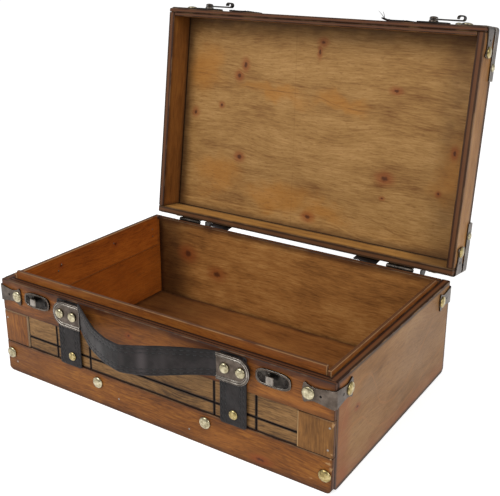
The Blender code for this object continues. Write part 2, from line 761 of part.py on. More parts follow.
def grip_plate_mesh():
    """A handle plate with a split bead along its edges and round its end."""
    top = GRIP_PLATE_T + GRIP_BEAD_RISE
    plate = flat_mesh([grip_outline(), *rivet_holes((0,))], top, low=0)
    field = flat_mesh([grip_outline(GRIP_BEAD_WIDTH, OVERRUN)], OVERRUN, low=GRIP_PLATE_T)
    split = ribbon(grip_outline(GRIP_BEAD_WIDTH / 2, OVERRUN), GRIP_BEAD_SPLIT)
    return cut(plate, field, flat_mesh([split], OVERRUN, low=top - GRIP_BEAD_RISE / 2))


def bow_out(x):
    """How far the handle stands out of its plates at x."""
    start = GRIP_X["left"] + GRIP_PLATE_LENGTH / 2
    end = GRIP_X["right"] - GRIP_PLATE_LENGTH / 2
    share = (x - (start + end) / 2) / ((end - start) / 2)
    if abs(share) >= 1:
        return 0.0
    return HANDLE_RISE * ((1 + math.cos(math.pi * share)) / 2) ** HANDLE_FULLNESS


def build_handle():
    """The leather grip, cut flat with round ends and bowed between its two plates."""
    start = GRIP_X["left"] + GRIP_PLATE_LENGTH / 2
    end = GRIP_X["right"] - GRIP_PLATE_LENGTH / 2
    tail = GRIP_PLATE_LENGTH - HANDLE_END_MARGIN
    spans = [start + (end - start) * i / HANDLE_STEPS for i in range(HANDLE_STEPS + 1)]
    route = [Vector((x, bow_out(x))) for x in (start - tail, *spans, end + tail)]
    lengths, bow = follow(route)
    total = lengths[-1] - 2 * tail
    half = GRIP_PLATE_HEIGHT / 2 - HANDLE_END_MARGIN
    round_left = arc((-tail + half, 0), half, 90, 270, 10)
    round_right = arc((total + tail - half, 0), half, -90, 90, 10)
    grip_half = HANDLE_WIDTH / 2
    full_from, full_to = total * HANDLE_TAPER_SHARE, total * (1 - HANDLE_TAPER_SHARE)
    outline = [(0, half), *round_left, (0, -half), (full_from, -grip_half), (full_to, -grip_half),
               (total, -half), *round_right, (total, half), (full_to, grip_half), (full_from, grip_half)]
    rivets = rivet_holes((-GRIP_PLATE_LENGTH / 2, total + GRIP_PLATE_LENGTH / 2))

    flat = moved(flat_mesh([outline, *rivets], HANDLE_T), Matrix.Translation((tail, 0, 0)))
    mesh = bent(flat, lengths, bow)
    shade_smooth(mesh, 50)
    place = on_front(0, HANDLE_Z) @ Matrix.Translation((0, 0, LEATHER_OUT + HANDLE_T / 2))
    add_object("handle_strap", mesh, LEATHER, place)

    plate = grip_plate_mesh()
    shade_smooth(plate)
    head = dome(RIVET_HEAD_R, RIVET_HEAD_RISE, sink=0.0)
    shank_length = GRIP_PLATE_T + FIT + HANDLE_T
    shank = turned([(0, SINK), (RIVET_SHANK_R, SINK), (RIVET_SHANK_R, -FIT - shank_length),
                    (0, -FIT - shank_length)], 12)
    rivet = joined(head, shank)
    shade_smooth(rivet)
    for side, x in GRIP_X.items():
        turn = Matrix.Rotation(math.radians(180 if side == "right" else 0), 4, "Z")
        base = on_front(x, HANDLE_Z) @ Matrix.Translation((0, 0, GRIP_OUT))
        add_object(f"handle_plate_{side}", plate, PEWTER, base @ turn)
        for place, reach in zip(("outer", "inner"), RIVET_PLACES):
            shift = reach if side == "left" else -reach
            at = base @ Matrix.Translation((shift, 0, GRIP_PLATE_T + FIT))
            add_object(f"handle_rivet_{side}_{place}", rivet, BRASS, at)


def build_rail_tacks():
    """Four domed tacks along the bottom rail."""
    tack = dome(RAIL_TACK_R, RAIL_TACK_RISE, sink=0.0)
    shade_smooth(tack)
    end_x = RIGHT - RAIL_TACK_END_INSET
    places = (("left_end", -end_x), ("left", -RAIL_TACK_MIDDLE_X), ("right", RAIL_TACK_MIDDLE_X),
              ("right_end", end_x))
    for (name, x), z in zip(places, RAIL_TACK_HEIGHTS):
        add_object(f"rail_tack_{name}", tack, BRASS, on_front(x, z) @ Matrix.Translation((0, 0, FIT)))


def oval_plate():
    """A dished oval plate with two screw holes, the same on lid and base."""
    holes = [circle((sign * SCREW_AT, 0), SCREW_HOLE_R) for sign in (-1, 1)]
    plate = flat_mesh([oval(OVAL_LENGTH, OVAL_HEIGHT), *holes], OVAL_T, low=FIT)
    dish = oval(OVAL_LENGTH - 2 * OVAL_RIM, OVAL_HEIGHT - 2 * OVAL_RIM)
    return cut(plate, flat_mesh([dish], OVERRUN, low=FIT + OVAL_T - OVAL_DISH))


def latch_plate_mesh():
    """The lid's oval plate with the post that the arm turns on."""
    floor = FIT + OVAL_T - OVAL_DISH - SINK
    boss_top = ARM_OUT - FIT
    cap_low = ARM_OUT + ARM_T + FIT
    cap_edge = cap_low + POST_CAP_EDGE
    dome_rise = POST_CAP_RISE - POST_CAP_EDGE
    ring = [(POST_CAP_R * x, cap_edge + dome_rise * y) for x, y in arc((0, 0), 1, 90, 0, 4)]
    ring[0] = (0, cap_low + POST_CAP_RISE)
    profile = [*ring, (POST_CAP_R, cap_low), (POST_R, cap_low), (POST_R, boss_top),
               (POST_BOSS_R - SINK, boss_top), (POST_BOSS_R, floor), (0, floor)]
    return joined(oval_plate(), turned(profile, 20))


def latch_arm_mesh():
    """The hook: an eye on the post, a flat bar along +X and a rolled finger curl."""
    middle = ARM_OUT + ARM_T / 2
    curl_far = ARM_REACH - ARM_T / 2 - ARM_CURL_R
    curl_near = ARM_REACH - ARM_CURL_LENGTH + ARM_CURL_R
    curl_out = middle + ARM_CURL_R
    path = [
        (-ARM_EYE_R, middle),
        (curl_near, middle),
        *arc((curl_far, curl_out), ARM_CURL_R, -90, 90, 8),
        *arc((curl_near, curl_out), ARM_CURL_R, 90, 200, 5),
    ]
    lengths, curl = follow([Vector(point) for point in path])
    half = ARM_WIDTH / 2
    eye_end = math.degrees(math.asin(ARM_WAIST / 2 / ARM_EYE_R))
    eye = arc((ARM_EYE_R, 0), ARM_EYE_R, eye_end, 360 - eye_end, 18)
    outline = [*eye, (ARM_EYE_R + curl_near, -half), (lengths[-1], -half), (lengths[-1], half),
               (ARM_EYE_R + curl_near, half)]
    bore = circle((ARM_EYE_R, 0), POST_R + FIT, 16)
    mesh = bent(flat_mesh([outline, bore], ARM_T), lengths[1:-1], curl)
    shade_smooth(mesh)
    return mesh


def catch_mesh():
    """The base's oval plate with a tab folded out of it, open towards +X for the arm."""
    root_x = -ARM_WIDTH / 2 - TAB_ROOT_GAP - SHEET_T / 2
    tab_out = ARM_OUT + ARM_T + FIT + SHEET_T / 2
    end_x = TAB_HOLD - ARM_WIDTH / 2
    bend_r = SHEET_T
    path = [
        (root_x, FIT + OVAL_T - OVAL_DISH - SINK),
        *arc((root_x + bend_r, tab_out - bend_r), bend_r, 180, 90, 4),
        (end_x, tab_out),
        (end_x + TAB_FLARE, tab_out + TAB_FLARE / 2),
    ]
    tab = moved(flat_mesh([ribbon(path, SHEET_T)], TAB_HEIGHT), FACE_FRONT)
    mesh = joined(oval_plate(), moved(tab, Matrix.Translation((0, TAB_RISE, 0))))
    shade_smooth(mesh)
    return mesh


def build_latches(lid):
    """Both latches: plate and arm on the lid, catch on the base."""
    plate, arm, catch = latch_plate_mesh(), latch_arm_mesh(), catch_mesh()
    shade_smooth(plate)
    pivot_z = LID_Z + LATCH_RISE
    for side, x in LATCH_X.items():
        add_object(f"latch_plate_{side}", plate, PEWTER, on_front(x, pivot_z), lid)
        add_object(f"latch_arm_{side}", arm, DARK_STEEL, on_front(x, pivot_z), lid)
        add_object(f"latch_catch_{side}", catch, PEWTER, on_front(x, pivot_z - LATCH_TO_CATCH))


def hinge_leaf_mesh(notch_places):
    """A hinge leaf about the hinge axis: a rolled sheet with notches for the other leaf's knuckles."""
    back = -KNUCKLE_R
    front = back + HINGE_SHEET_T
    tongue_end = math.degrees(math.acos(front / KNUCKLE_R))
    profile = [(back, -HINGE_LEAF_HEIGHT), *arc((0, 0), KNUCKLE_R, 180, -tongue_end, 16),
               (front, -HINGE_LEAF_HEIGHT)]
    leaf = moved(flat_mesh([profile, circle((0, 0), PIN_R + FIT)], HINGE_LENGTH), ALONG_X)
    pitch = (HINGE_LENGTH + KNUCKLE_GAP) / KNUCKLES
    notch_low = -KNUCKLE_R - FIT
    notch = box_mesh((pitch + KNUCKLE_GAP, OVERRUN, OVERRUN))
    notch_z = notch_low + OVERRUN / 2
    notches = [moved(notch, Matrix.Translation((i * pitch, 0, notch_z))) for i in notch_places]
    hole = flat_mesh([circle((0, 0), SCREW_HOLE_R)], OVERRUN)
    hole_z = (notch_low - HINGE_LEAF_HEIGHT) / 2
    holes = [moved(hole, Matrix.Translation((side * HINGE_SCREW_AT, 0, hole_z)) @ FACE_FRONT)
             for side in (-1, 1)]
    mesh = cut(leaf, *notches, *holes)
    shade_smooth(mesh)
    return mesh


def pin_mesh():
    """A hinge pin along X with two round heads."""
    end = HINGE_LENGTH / 2 + FIT
    profile = [(0, end + PIN_HEAD_T), (PIN_HEAD_R / 2, end + PIN_HEAD_T), (PIN_HEAD_R, end + PIN_HEAD_T / 2),
               (PIN_HEAD_R, end), (PIN_R, end)]
    mesh = moved(turned(profile + [(r, -z) for r, z in profile[::-1]], 12), ALONG_X)
    shade_smooth(mesh)
    return mesh


def lid_stop_mesh():
    """An angle bracket about the hinge axis; the open lid's back rests along its sloping top edge."""
    slope = LID_OPEN_DEG - 90
    foot_y = STOP_T / 2 - KNUCKLE_R
    along, cuts, fold = square_fold((0, foot_y), STOP_FOLD_R)
    start_deg = 180 - math.degrees(math.acos(-(foot_y + STOP_FOLD_R) / KNUCKLE_R))
    rim = arc((0, 0), KNUCKLE_R, start_deg, 90 - slope, 6)
    run = STOP_REACH - HINGE_OUT - rim[-1][0]
    tip = (rim[-1][0] + run, rim[-1][1] - run * math.tan(math.radians(slope)))
    wing = [(along(y - foot_y), z) for y, z in (*rim, tip, (tip[0], tip[1] - STOP_TIP))]
    heel = along(STOP_FOLD_R + STOP_T)
    foot_end = -along(STOP_FOOT_WIDTH)
    outline = [(foot_end, -STOP_HEIGHT), (foot_end, -STOP_FOOT_DROP), (along(STOP_FOLD_R), -STOP_FOOT_DROP),
               *wing, (heel, -STOP_HEIGHT)]
    hole = circle((foot_end / 2 - STOP_T / 2, -(STOP_HEIGHT + STOP_FOOT_DROP) / 2), SCREW_HOLE_R)
    return bent(flat_mesh([outline, hole], STOP_T), cuts, fold)


def build_hinges(lid):
    """Two hinges with their pins, and the stops beside them."""
    base_leaf, lid_leaf = hinge_leaf_mesh((0,)), hinge_leaf_mesh((-1, 1))
    pin, stop = pin_mesh(), lid_stop_mesh()
    flip = Matrix.Rotation(math.radians(180), 4, "Y")
    for side, x in HINGE_X.items():
        axis = Matrix.Translation(HINGE_AXIS + Vector((x, 0, 0)))
        add_object(f"hinge_base_leaf_{side}", base_leaf, DARK_STEEL, axis)
        add_object(f"hinge_lid_leaf_{side}", lid_leaf, DARK_STEEL, axis @ flip, lid)
        add_object(f"hinge_pin_{side}", pin, DARK_STEEL, axis)
        shift = Matrix.Translation((STOP_FROM_HINGE, 0, 0))
        add_object(f"lid_stop_{side}", stop, DARK_STEEL, axis @ shift)


def main():
    lid = bpy.data.objects.new("lid_axis", None)
    SUITCASE.objects.link(lid)
    lid.location = HINGE_AXIS
    build_base()
    build_lid(lid)
    build_corner_metal(lid)
    build_straps(lid)
    build_handle()
    build_rail_tacks()
    build_latches(lid)
    build_hinges(lid)
    lid.rotation_euler.x = -math.radians(LID_OPEN_DEG)


main()
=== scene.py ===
"""Looks of a small wooden suitcase chest: stained plywood, dark leather, pewter corners, brass tacks."""
import json
import logging
import math
from collections.abc import Callable, Iterable, Mapping, Sequence
from dataclasses import dataclass, field, replace
from enum import Enum

import bmesh
import bpy
from bmesh.types import BMesh
from bpy.types import Material, Mesh, Node, NodeSocket, NodeTree, Object
from mathutils import Matrix, Vector, noise

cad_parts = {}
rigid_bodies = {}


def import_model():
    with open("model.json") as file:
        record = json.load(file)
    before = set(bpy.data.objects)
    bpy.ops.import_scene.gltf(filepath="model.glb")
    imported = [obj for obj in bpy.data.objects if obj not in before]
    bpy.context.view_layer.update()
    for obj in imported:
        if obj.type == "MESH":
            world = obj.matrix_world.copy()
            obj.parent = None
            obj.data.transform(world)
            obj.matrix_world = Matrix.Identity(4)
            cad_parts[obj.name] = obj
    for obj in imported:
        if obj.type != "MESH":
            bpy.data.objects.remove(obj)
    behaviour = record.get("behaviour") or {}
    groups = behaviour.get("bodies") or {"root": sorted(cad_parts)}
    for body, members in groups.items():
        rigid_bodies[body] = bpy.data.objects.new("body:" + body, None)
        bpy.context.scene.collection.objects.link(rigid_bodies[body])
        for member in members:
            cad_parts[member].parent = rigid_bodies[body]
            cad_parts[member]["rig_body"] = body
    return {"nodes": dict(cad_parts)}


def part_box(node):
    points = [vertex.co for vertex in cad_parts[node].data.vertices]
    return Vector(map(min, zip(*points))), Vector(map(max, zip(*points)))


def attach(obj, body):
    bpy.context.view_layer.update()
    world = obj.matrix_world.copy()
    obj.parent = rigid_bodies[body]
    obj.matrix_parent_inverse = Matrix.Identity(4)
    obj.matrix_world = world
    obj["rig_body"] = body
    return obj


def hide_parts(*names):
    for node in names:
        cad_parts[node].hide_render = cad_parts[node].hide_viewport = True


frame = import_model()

LOG = logging.getLogger("suitcase")
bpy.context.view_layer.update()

# The frame's main places, as in the part's source, in metres. Lid places are those of the closed box.
MM = 1000.0
FIT = 0.0003
MERGE_REACH = 2e-6
FLAT_DEG = 0.5
BOX_LENGTH = 0.350
BOX_DEPTH = 0.226
BASE_HEIGHT = 0.094
LID_Z = 0.0945
TOP_Z = 0.1275
HINGE = Vector((0, 0.1156, 0.09425))
OPEN_DEG = 98.0
OPEN = (Matrix.Translation(HINGE) @ Matrix.Rotation(math.radians(-OPEN_DEG), 4, "X")
        @ Matrix.Translation(-HINGE))
CLOSE = OPEN.inverted()
FRONT_Y = -BOX_DEPTH / 2
SIDES = ("left", "right")
STRAP_X = {"left": -0.089, "right": 0.087}
GRIP_X = {"left": -0.0872, "right": 0.0894}
LATCH_X = {"left": -0.1275, "right": 0.1235}
HINGE_X = {"left": -0.129, "right": 0.123}
HANDLE_Z = 0.0815
TO_FRONT = Vector((0, -1, 0))
TO_BACK = Vector((0, 1, 0))

# Blender's identifiers of the nodes that come most often.
MATH, VECTOR, RANGE = "ShaderNodeMath", "ShaderNodeVectorMath", "ShaderNodeMapRange"
NOISE, MIX, GROUP = "ShaderNodeTexNoise", "ShaderNodeMix", "ShaderNodeGroup"
SPLIT, JOIN, RAMP = "ShaderNodeSeparateXYZ", "ShaderNodeCombineXYZ", "ShaderNodeValToRGB"

FADING = {"To Min": 1.0, "To Max": 0.0}

Place = tuple[float, float, float]
Pairs = tuple[tuple[float, float], ...]
Sockets = Mapping[str, NodeSocket]


def hex_color(code: str) -> tuple[float, float, float, float]:
    """Turns an sRGB hex colour into Blender's linear colour.

    Args:
        code: Six hex digits after a hash.

    Returns:
        Red, green, blue and alpha, linear.
    """
    parts = [int(code[i:i + 2], 16) / 255 for i in (1, 3, 5)]
    linear = [c / 12.92 if c <= 0.04045 else ((c + 0.055) / 1.055) ** 2.4 for c in parts]
    return (*linear, 1.0)


def feed(tree: NodeTree, node: Node, inputs: dict) -> None:
    """Gives a node's inputs their values and links.

    Args:
        tree: The node's tree.
        node: The node.
        inputs: Input name or index, and a value, a socket, or a node whose first output is meant.
    """
    for key, value in inputs.items():
        socket = node.inputs[key] if isinstance(key, int) else next(
            s for s in node.inputs if s.name == key and s.enabled)
        if isinstance(value, Node):
            value = next(s for s in value.outputs if s.enabled)
        if isinstance(value, NodeSocket):
            tree.links.new(value, socket)
        else:
            socket.default_value = value


def add_node(tree: NodeTree, kind: str, inputs: dict | None = None, **settings) -> Node:
    """Adds a node with its settings and links.

    Args:
        tree: The tree that gets the node.
        kind: Blender's identifier of the node.
        inputs: What feed takes.
        **settings: Properties of the node itself.

    Returns:
        The new node.
    """
    node = tree.nodes.new(kind)
    for name, value in settings.items():
        setattr(node, name, value)
    feed(tree, node, inputs or {})
    return node


def set_ramp(node: Node, stops: Sequence[tuple[float, str]], linear: bool = True) -> None:
    """Gives a Color Ramp its stops.

    Args:
        node: The Color Ramp node.
        stops: Position from 0 to 1, and hex colour.
        linear: Whether colours run into each other, or step.
    """
    ramp = node.color_ramp
    ramp.interpolation = "LINEAR" if linear else "CONSTANT"
    while len(ramp.elements) < len(stops):
        ramp.elements.new(1.0)
    for element, (place, code) in zip(ramp.elements, stops):
        element.position = place
        element.color = hex_color(code)


def new_group(name: str, kind: str, inputs: dict[str, str], outputs: dict[str, str]) -> tuple:
    """Makes an empty node group with its sockets.

    Args:
        name: Name of the group.
        kind: "ShaderNodeTree" or "GeometryNodeTree".
        inputs: Input names and their socket types, without the prefix NodeSocket.
        outputs: Output names and their socket types.

    Returns:
        The tree, the sockets of its inputs, and its output node.
    """
    tree = bpy.data.node_groups.new(name, kind)
    for way, sockets in (("INPUT", inputs), ("OUTPUT", outputs)):
        for label, socket in sockets.items():
            tree.interface.new_socket(name=label, in_out=way, socket_type=f"NodeSocket{socket}")
    return tree, tree.nodes.new("NodeGroupInput").outputs, tree.nodes.new("NodeGroupOutput")


def new_material(name: str) -> tuple[Material, NodeTree, Node]:
    """Makes a material with an empty Principled shader.

    Args:
        name: Common name of the real material.

    Returns:
        The material, its tree and its Principled node.
    """
    material = bpy.data.materials.new(name)
    material.use_nodes = True
    tree = material.node_tree
    return material, tree, tree.nodes["Principled BSDF"]


def object_mm(tree: NodeTree, on_lid: bool = False) -> Node:
    """The place on the object in millimetres.

    Args:
        tree: The material's tree.
        on_lid: Whether the piece is the lid's, whose places are those of the closed box.

    Returns:
        The node that gives the place.
    """
    place = add_node(tree, "ShaderNodeTexCoord").outputs["Object"]
    if on_lid:
        place = add_node(tree, "ShaderNodeMapping", {
            "Vector": place, "Rotation": tuple(CLOSE.to_euler()), "Location": tuple(CLOSE.to_translation())})
    return add_node(tree, VECTOR, {0: place, "Scale": MM}, operation="SCALE")


class Grain(Enum):
    """Which of a board's axes runs along the grain, across it on the face, and through the board."""

    RAIL = ("X", "Z", "Y")
    STILE = ("Z", "X", "Y")
    SIDE = ("Y", "Z", "X")
    FLAT = ("X", "Y", "Z")


@dataclass(frozen=True)
class Knot:
    """A knot, chip or tinted patch on a board: its place along and across the grain and its size, in mm. A
    patch is stain that took more strongly, except on the base's right side, where it is a painted sheen.
    """

    along: float
    across: float
    long: float = 5.0
    wide: float = 3.0

    def group_inputs(self, level: float) -> dict[str, Place]:
        """The place and size that a knot's or a patch's group takes, at this level in the board."""
        return {"Place": (self.along, self.across, level), "Size": (self.long, self.wide, MM)}


@dataclass(frozen=True)
class GrainLine:
    """A line or band on a board, through points along and across the grain, in millimetres.

    Without a colour it has the finish's dark one. It fades to its least strength where the grain breaks it.
    """

    points: Pairs
    width: float = 0.9
    share: float = 0.6
    code: str = ""
    least: float = 0.25
    crosses: bool = False


def level_line(across: float, width: float, share: float, code: str, least: float) -> GrainLine:
    """A straight line or band along the grain, this far across it."""
    return GrainLine(((0, across),), width, share, code, least)


def cross_line(along: float, width: float, share: float, code: str, least: float) -> GrainLine:
    """A straight line or band across the grain, this far along it."""
    return GrainLine(((along, 0),), width, share, code, least, crosses=True)


# The veneer's figure in millimetres: along the grain, across it and through the board. Fibres and flecks
# are drawn about three times as wide as real ones, which would be too fine to see.
WANDER_MM = (150, 55, 60)
SWAY_MM = 26.0
BAND_LONG_MM, BAND_DEEP_MM = 240.0, 60.0
FIBRE_MM = (13, 1.2, 8)
BLOTCH_MM = (58, 26, 40)
FLECK_MM = (5.5, 1.3, 4)
FIGURE_SPREAD = (0.28, 0.72)
FLECK_SPREAD = (0.54, 0.7)
# Where the grain breaks a drawn line, the size of the breaks in mm, and how much of its width is full.
BREAK_SPREAD = (0.38, 0.6)
BREAK_MM = 16.0
LINE_CORE = 0.35


def figure_group() -> NodeTree:
    """The figure of plain-sliced veneer: growth bands, fibres, short flecks and blotches, from mm.

    Returns:
        The group, whose vector runs along the grain in X, across it in Y and through it in Z.
    """
    tree, given, out = new_group(
        "veneer_figure", "ShaderNodeTree", {"Vector": "Vector", "Seed": "Float", "Band": "Float"},
        {"Bands": "Float", "Fibres": "Float", "Blotches": "Float", "Flecks": "Float"})
    place, seed = given["Vector"], given["Seed"]
    wander = add_node(tree, NOISE, {
        "Vector": add_node(tree, VECTOR, {0: place, 1: WANDER_MM}, operation="DIVIDE"),
        "W": seed, "Scale": 1.0, "Detail": 1.5}, noise_dimensions="4D")
    sway = add_node(tree, MATH, {0: wander.outputs["Fac"], 1: 0.5}, operation="SUBTRACT")
    shift = add_node(tree, JOIN, {"Y": add_node(tree, MATH, {0: sway, 1: SWAY_MM}, operation="MULTIPLY")})
    bent = add_node(tree, VECTOR, {0: place, 1: shift}, operation="ADD")
    band = add_node(tree, JOIN, {"X": BAND_LONG_MM, "Y": given["Band"], "Z": BAND_DEEP_MM})
    for label, where, size, detail, (low, high) in (
            ("Bands", bent, band, 2.0, FIGURE_SPREAD), ("Fibres", bent, FIBRE_MM, 3.0, FIGURE_SPREAD),
            ("Blotches", place, BLOTCH_MM, 5.0, FIGURE_SPREAD),
            ("Flecks", bent, FLECK_MM, 2.0, FLECK_SPREAD)):
        texture = add_node(tree, NOISE, {
            "Vector": add_node(tree, VECTOR, {0: where, 1: size}, operation="DIVIDE"),
            "W": seed, "Scale": 1.0, "Detail": detail, "Roughness": 0.6}, noise_dimensions="4D")
        feed(tree, out, {label: add_node(tree, RANGE, {
            "Value": texture.outputs["Fac"], "From Min": low, "From Max": high})})
    return tree


def ragged_reach(tree: NodeTree, given: Sockets, per_mm: float, detail: float,
                 uneven_mm: float) -> tuple[Node, NodeSocket]:
    """How far a point is from the middle of a knot or patch with a ragged outline.

    Args:
        tree: The group's tree.
        given: The sockets of its inputs, with Vector, Place and Size.
        per_mm: Scale of the raggedness.
        detail: Its detail.
        uneven_mm: How far it moves the outline.

    Returns:
        The node that gives the way from the middle, and the socket of its length beside the size.
    """
    away = add_node(tree, VECTOR, {0: given["Vector"], 1: given["Place"]}, operation="SUBTRACT")
    cloud = add_node(tree, NOISE, {"Vector": given["Vector"], "Scale": per_mm, "Detail": detail})
    uneven = add_node(tree, VECTOR, {
        0: add_node(tree, VECTOR, {0: cloud.outputs["Color"], 1: (0.5, 0.5, 0.5)},
                    operation="SUBTRACT"), "Scale": uneven_mm}, operation="SCALE")
    ragged = add_node(tree, VECTOR, {0: away, 1: uneven}, operation="ADD")
    share = add_node(tree, VECTOR, {0: ragged, 1: given["Size"]}, operation="DIVIDE")
    return away, add_node(tree, VECTOR, {0: share}, operation="LENGTH").outputs["Value"]


def patch_group() -> NodeTree:
    """A soft tinted patch: on most boards where the stain took more strongly, on the base's right side a
    painted sheen. Groups of it are chained.

    Returns:
        The group; Share gathers what earlier patches gave.
    """
    tree, given, out = new_group(
        "stain_and_sheen_patch", "ShaderNodeTree",
        {"Vector": "Vector", "Share": "Float", "Place": "Vector", "Size": "Vector"}, {"Share": "Float"})
    _, far = ragged_reach(tree, given, 1 / 30, 4.0, 55.0)
    soft = add_node(tree, RANGE, {
        "Value": far, "From Min": 0.2, "From Max": 1.4, **FADING}, interpolation_type="SMOOTHSTEP")
    feed(tree, out, {"Share": add_node(tree, MATH, {0: soft, 1: given["Share"]}, operation="MAXIMUM")})
    return tree


def knot_group() -> NodeTree:
    """A knot: the grain bends round it, its heart is dark and its rim reddish. Groups of it are chained.

    Returns:
        The group; Heart and Halo gather what earlier knots gave.
    """
    tree, given, out = new_group(
        "knot", "ShaderNodeTree",
        {"Vector": "Vector", "Heart": "Float", "Halo": "Float", "Place": "Vector", "Size": "Vector"},
        {"Vector": "Vector", "Heart": "Float", "Halo": "Float"})
    away, far = ragged_reach(tree, given, 0.35, 2.0, 2.6)
    fade = add_node(tree, MATH, {
        0: add_node(tree, MATH, {0: far, 1: 2.0}, operation="POWER"), 1: 0.6}, operation="ADD")
    pull = add_node(tree, VECTOR, {
        0: add_node(tree, VECTOR, {0: away, 1: (0.0, -0.9, 0.0)}, operation="MULTIPLY"),
        "Scale": add_node(tree, MATH, {0: 1.0, 1: fade}, operation="DIVIDE")}, operation="SCALE")
    feed(tree, out, {"Vector": add_node(tree, VECTOR, {0: given["Vector"], 1: pull}, operation="ADD")})
    for label, full, gone in (("Heart", 0.35, 1.0), ("Halo", 0.7, 3.2)):
        share = add_node(tree, RANGE, {
            "Value": far, "From Min": full, "From Max": gone, **FADING}, interpolation_type="SMOOTHSTEP")
        feed(tree, out, {label: add_node(tree, MATH, {0: share, 1: given[label]}, operation="MAXIMUM")})
    return tree


def edge_group() -> NodeTree:
    """How far a point of a board is from its nearest edge, and where it is in the board's thickness.

    Returns:
        The group; Edge is in millimetres, Layer runs from 0 to 1 through the board, Rim is 1 on its rim.
    """
    tree, given, out = new_group(
        "board_edges", "ShaderNodeTree", {"Vector": "Vector", "Middle": "Vector", "Half": "Vector"},
        {"Edge": "Float", "Layer": "Float", "Rim": "Float"})
    half = given["Half"]
    from_middle = add_node(tree, VECTOR, {0: given["Vector"], 1: given["Middle"]}, operation="SUBTRACT")
    inside = add_node(tree, VECTOR, {
        0: half, 1: add_node(tree, VECTOR, {0: from_middle}, operation="ABSOLUTE")}, operation="SUBTRACT")
    along, across, through = add_node(tree, SPLIT, {0: inside}).outputs
    low = add_node(tree, MATH, {0: along, 1: across}, operation="MINIMUM")
    high = add_node(tree, MATH, {0: along, 1: across}, operation="MAXIMUM")
    share = add_node(tree, VECTOR, {0: from_middle, 1: half}, operation="DIVIDE")
    feed(tree, out, {
        "Edge": add_node(tree, MATH, {
            0: low, 1: add_node(tree, MATH, {0: high, 1: through}, operation="MINIMUM")},
            operation="MAXIMUM"), "Layer": add_node(tree, RANGE, {
            "Value": add_node(tree, SPLIT, {0: share}).outputs["Z"], "From Min": -1.0, "From Max": 1.0}),
        "Rim": add_node(tree, RANGE, {"Value": low, "From Min": 0.1, "From Max": 0.35, **FADING})})
    return tree


@dataclass
class Shop:
    """Node groups that several finishes share, made once."""

    made: dict[str, NodeTree] = field(default_factory=dict)

    def group(self, make: Callable[[], NodeTree]) -> NodeTree:
        """Returns the tree that this function makes, made on its first use."""
        if make.__name__ not in self.made:
            self.made[make.__name__] = make()
        return self.made[make.__name__]


SHOP = Shop()


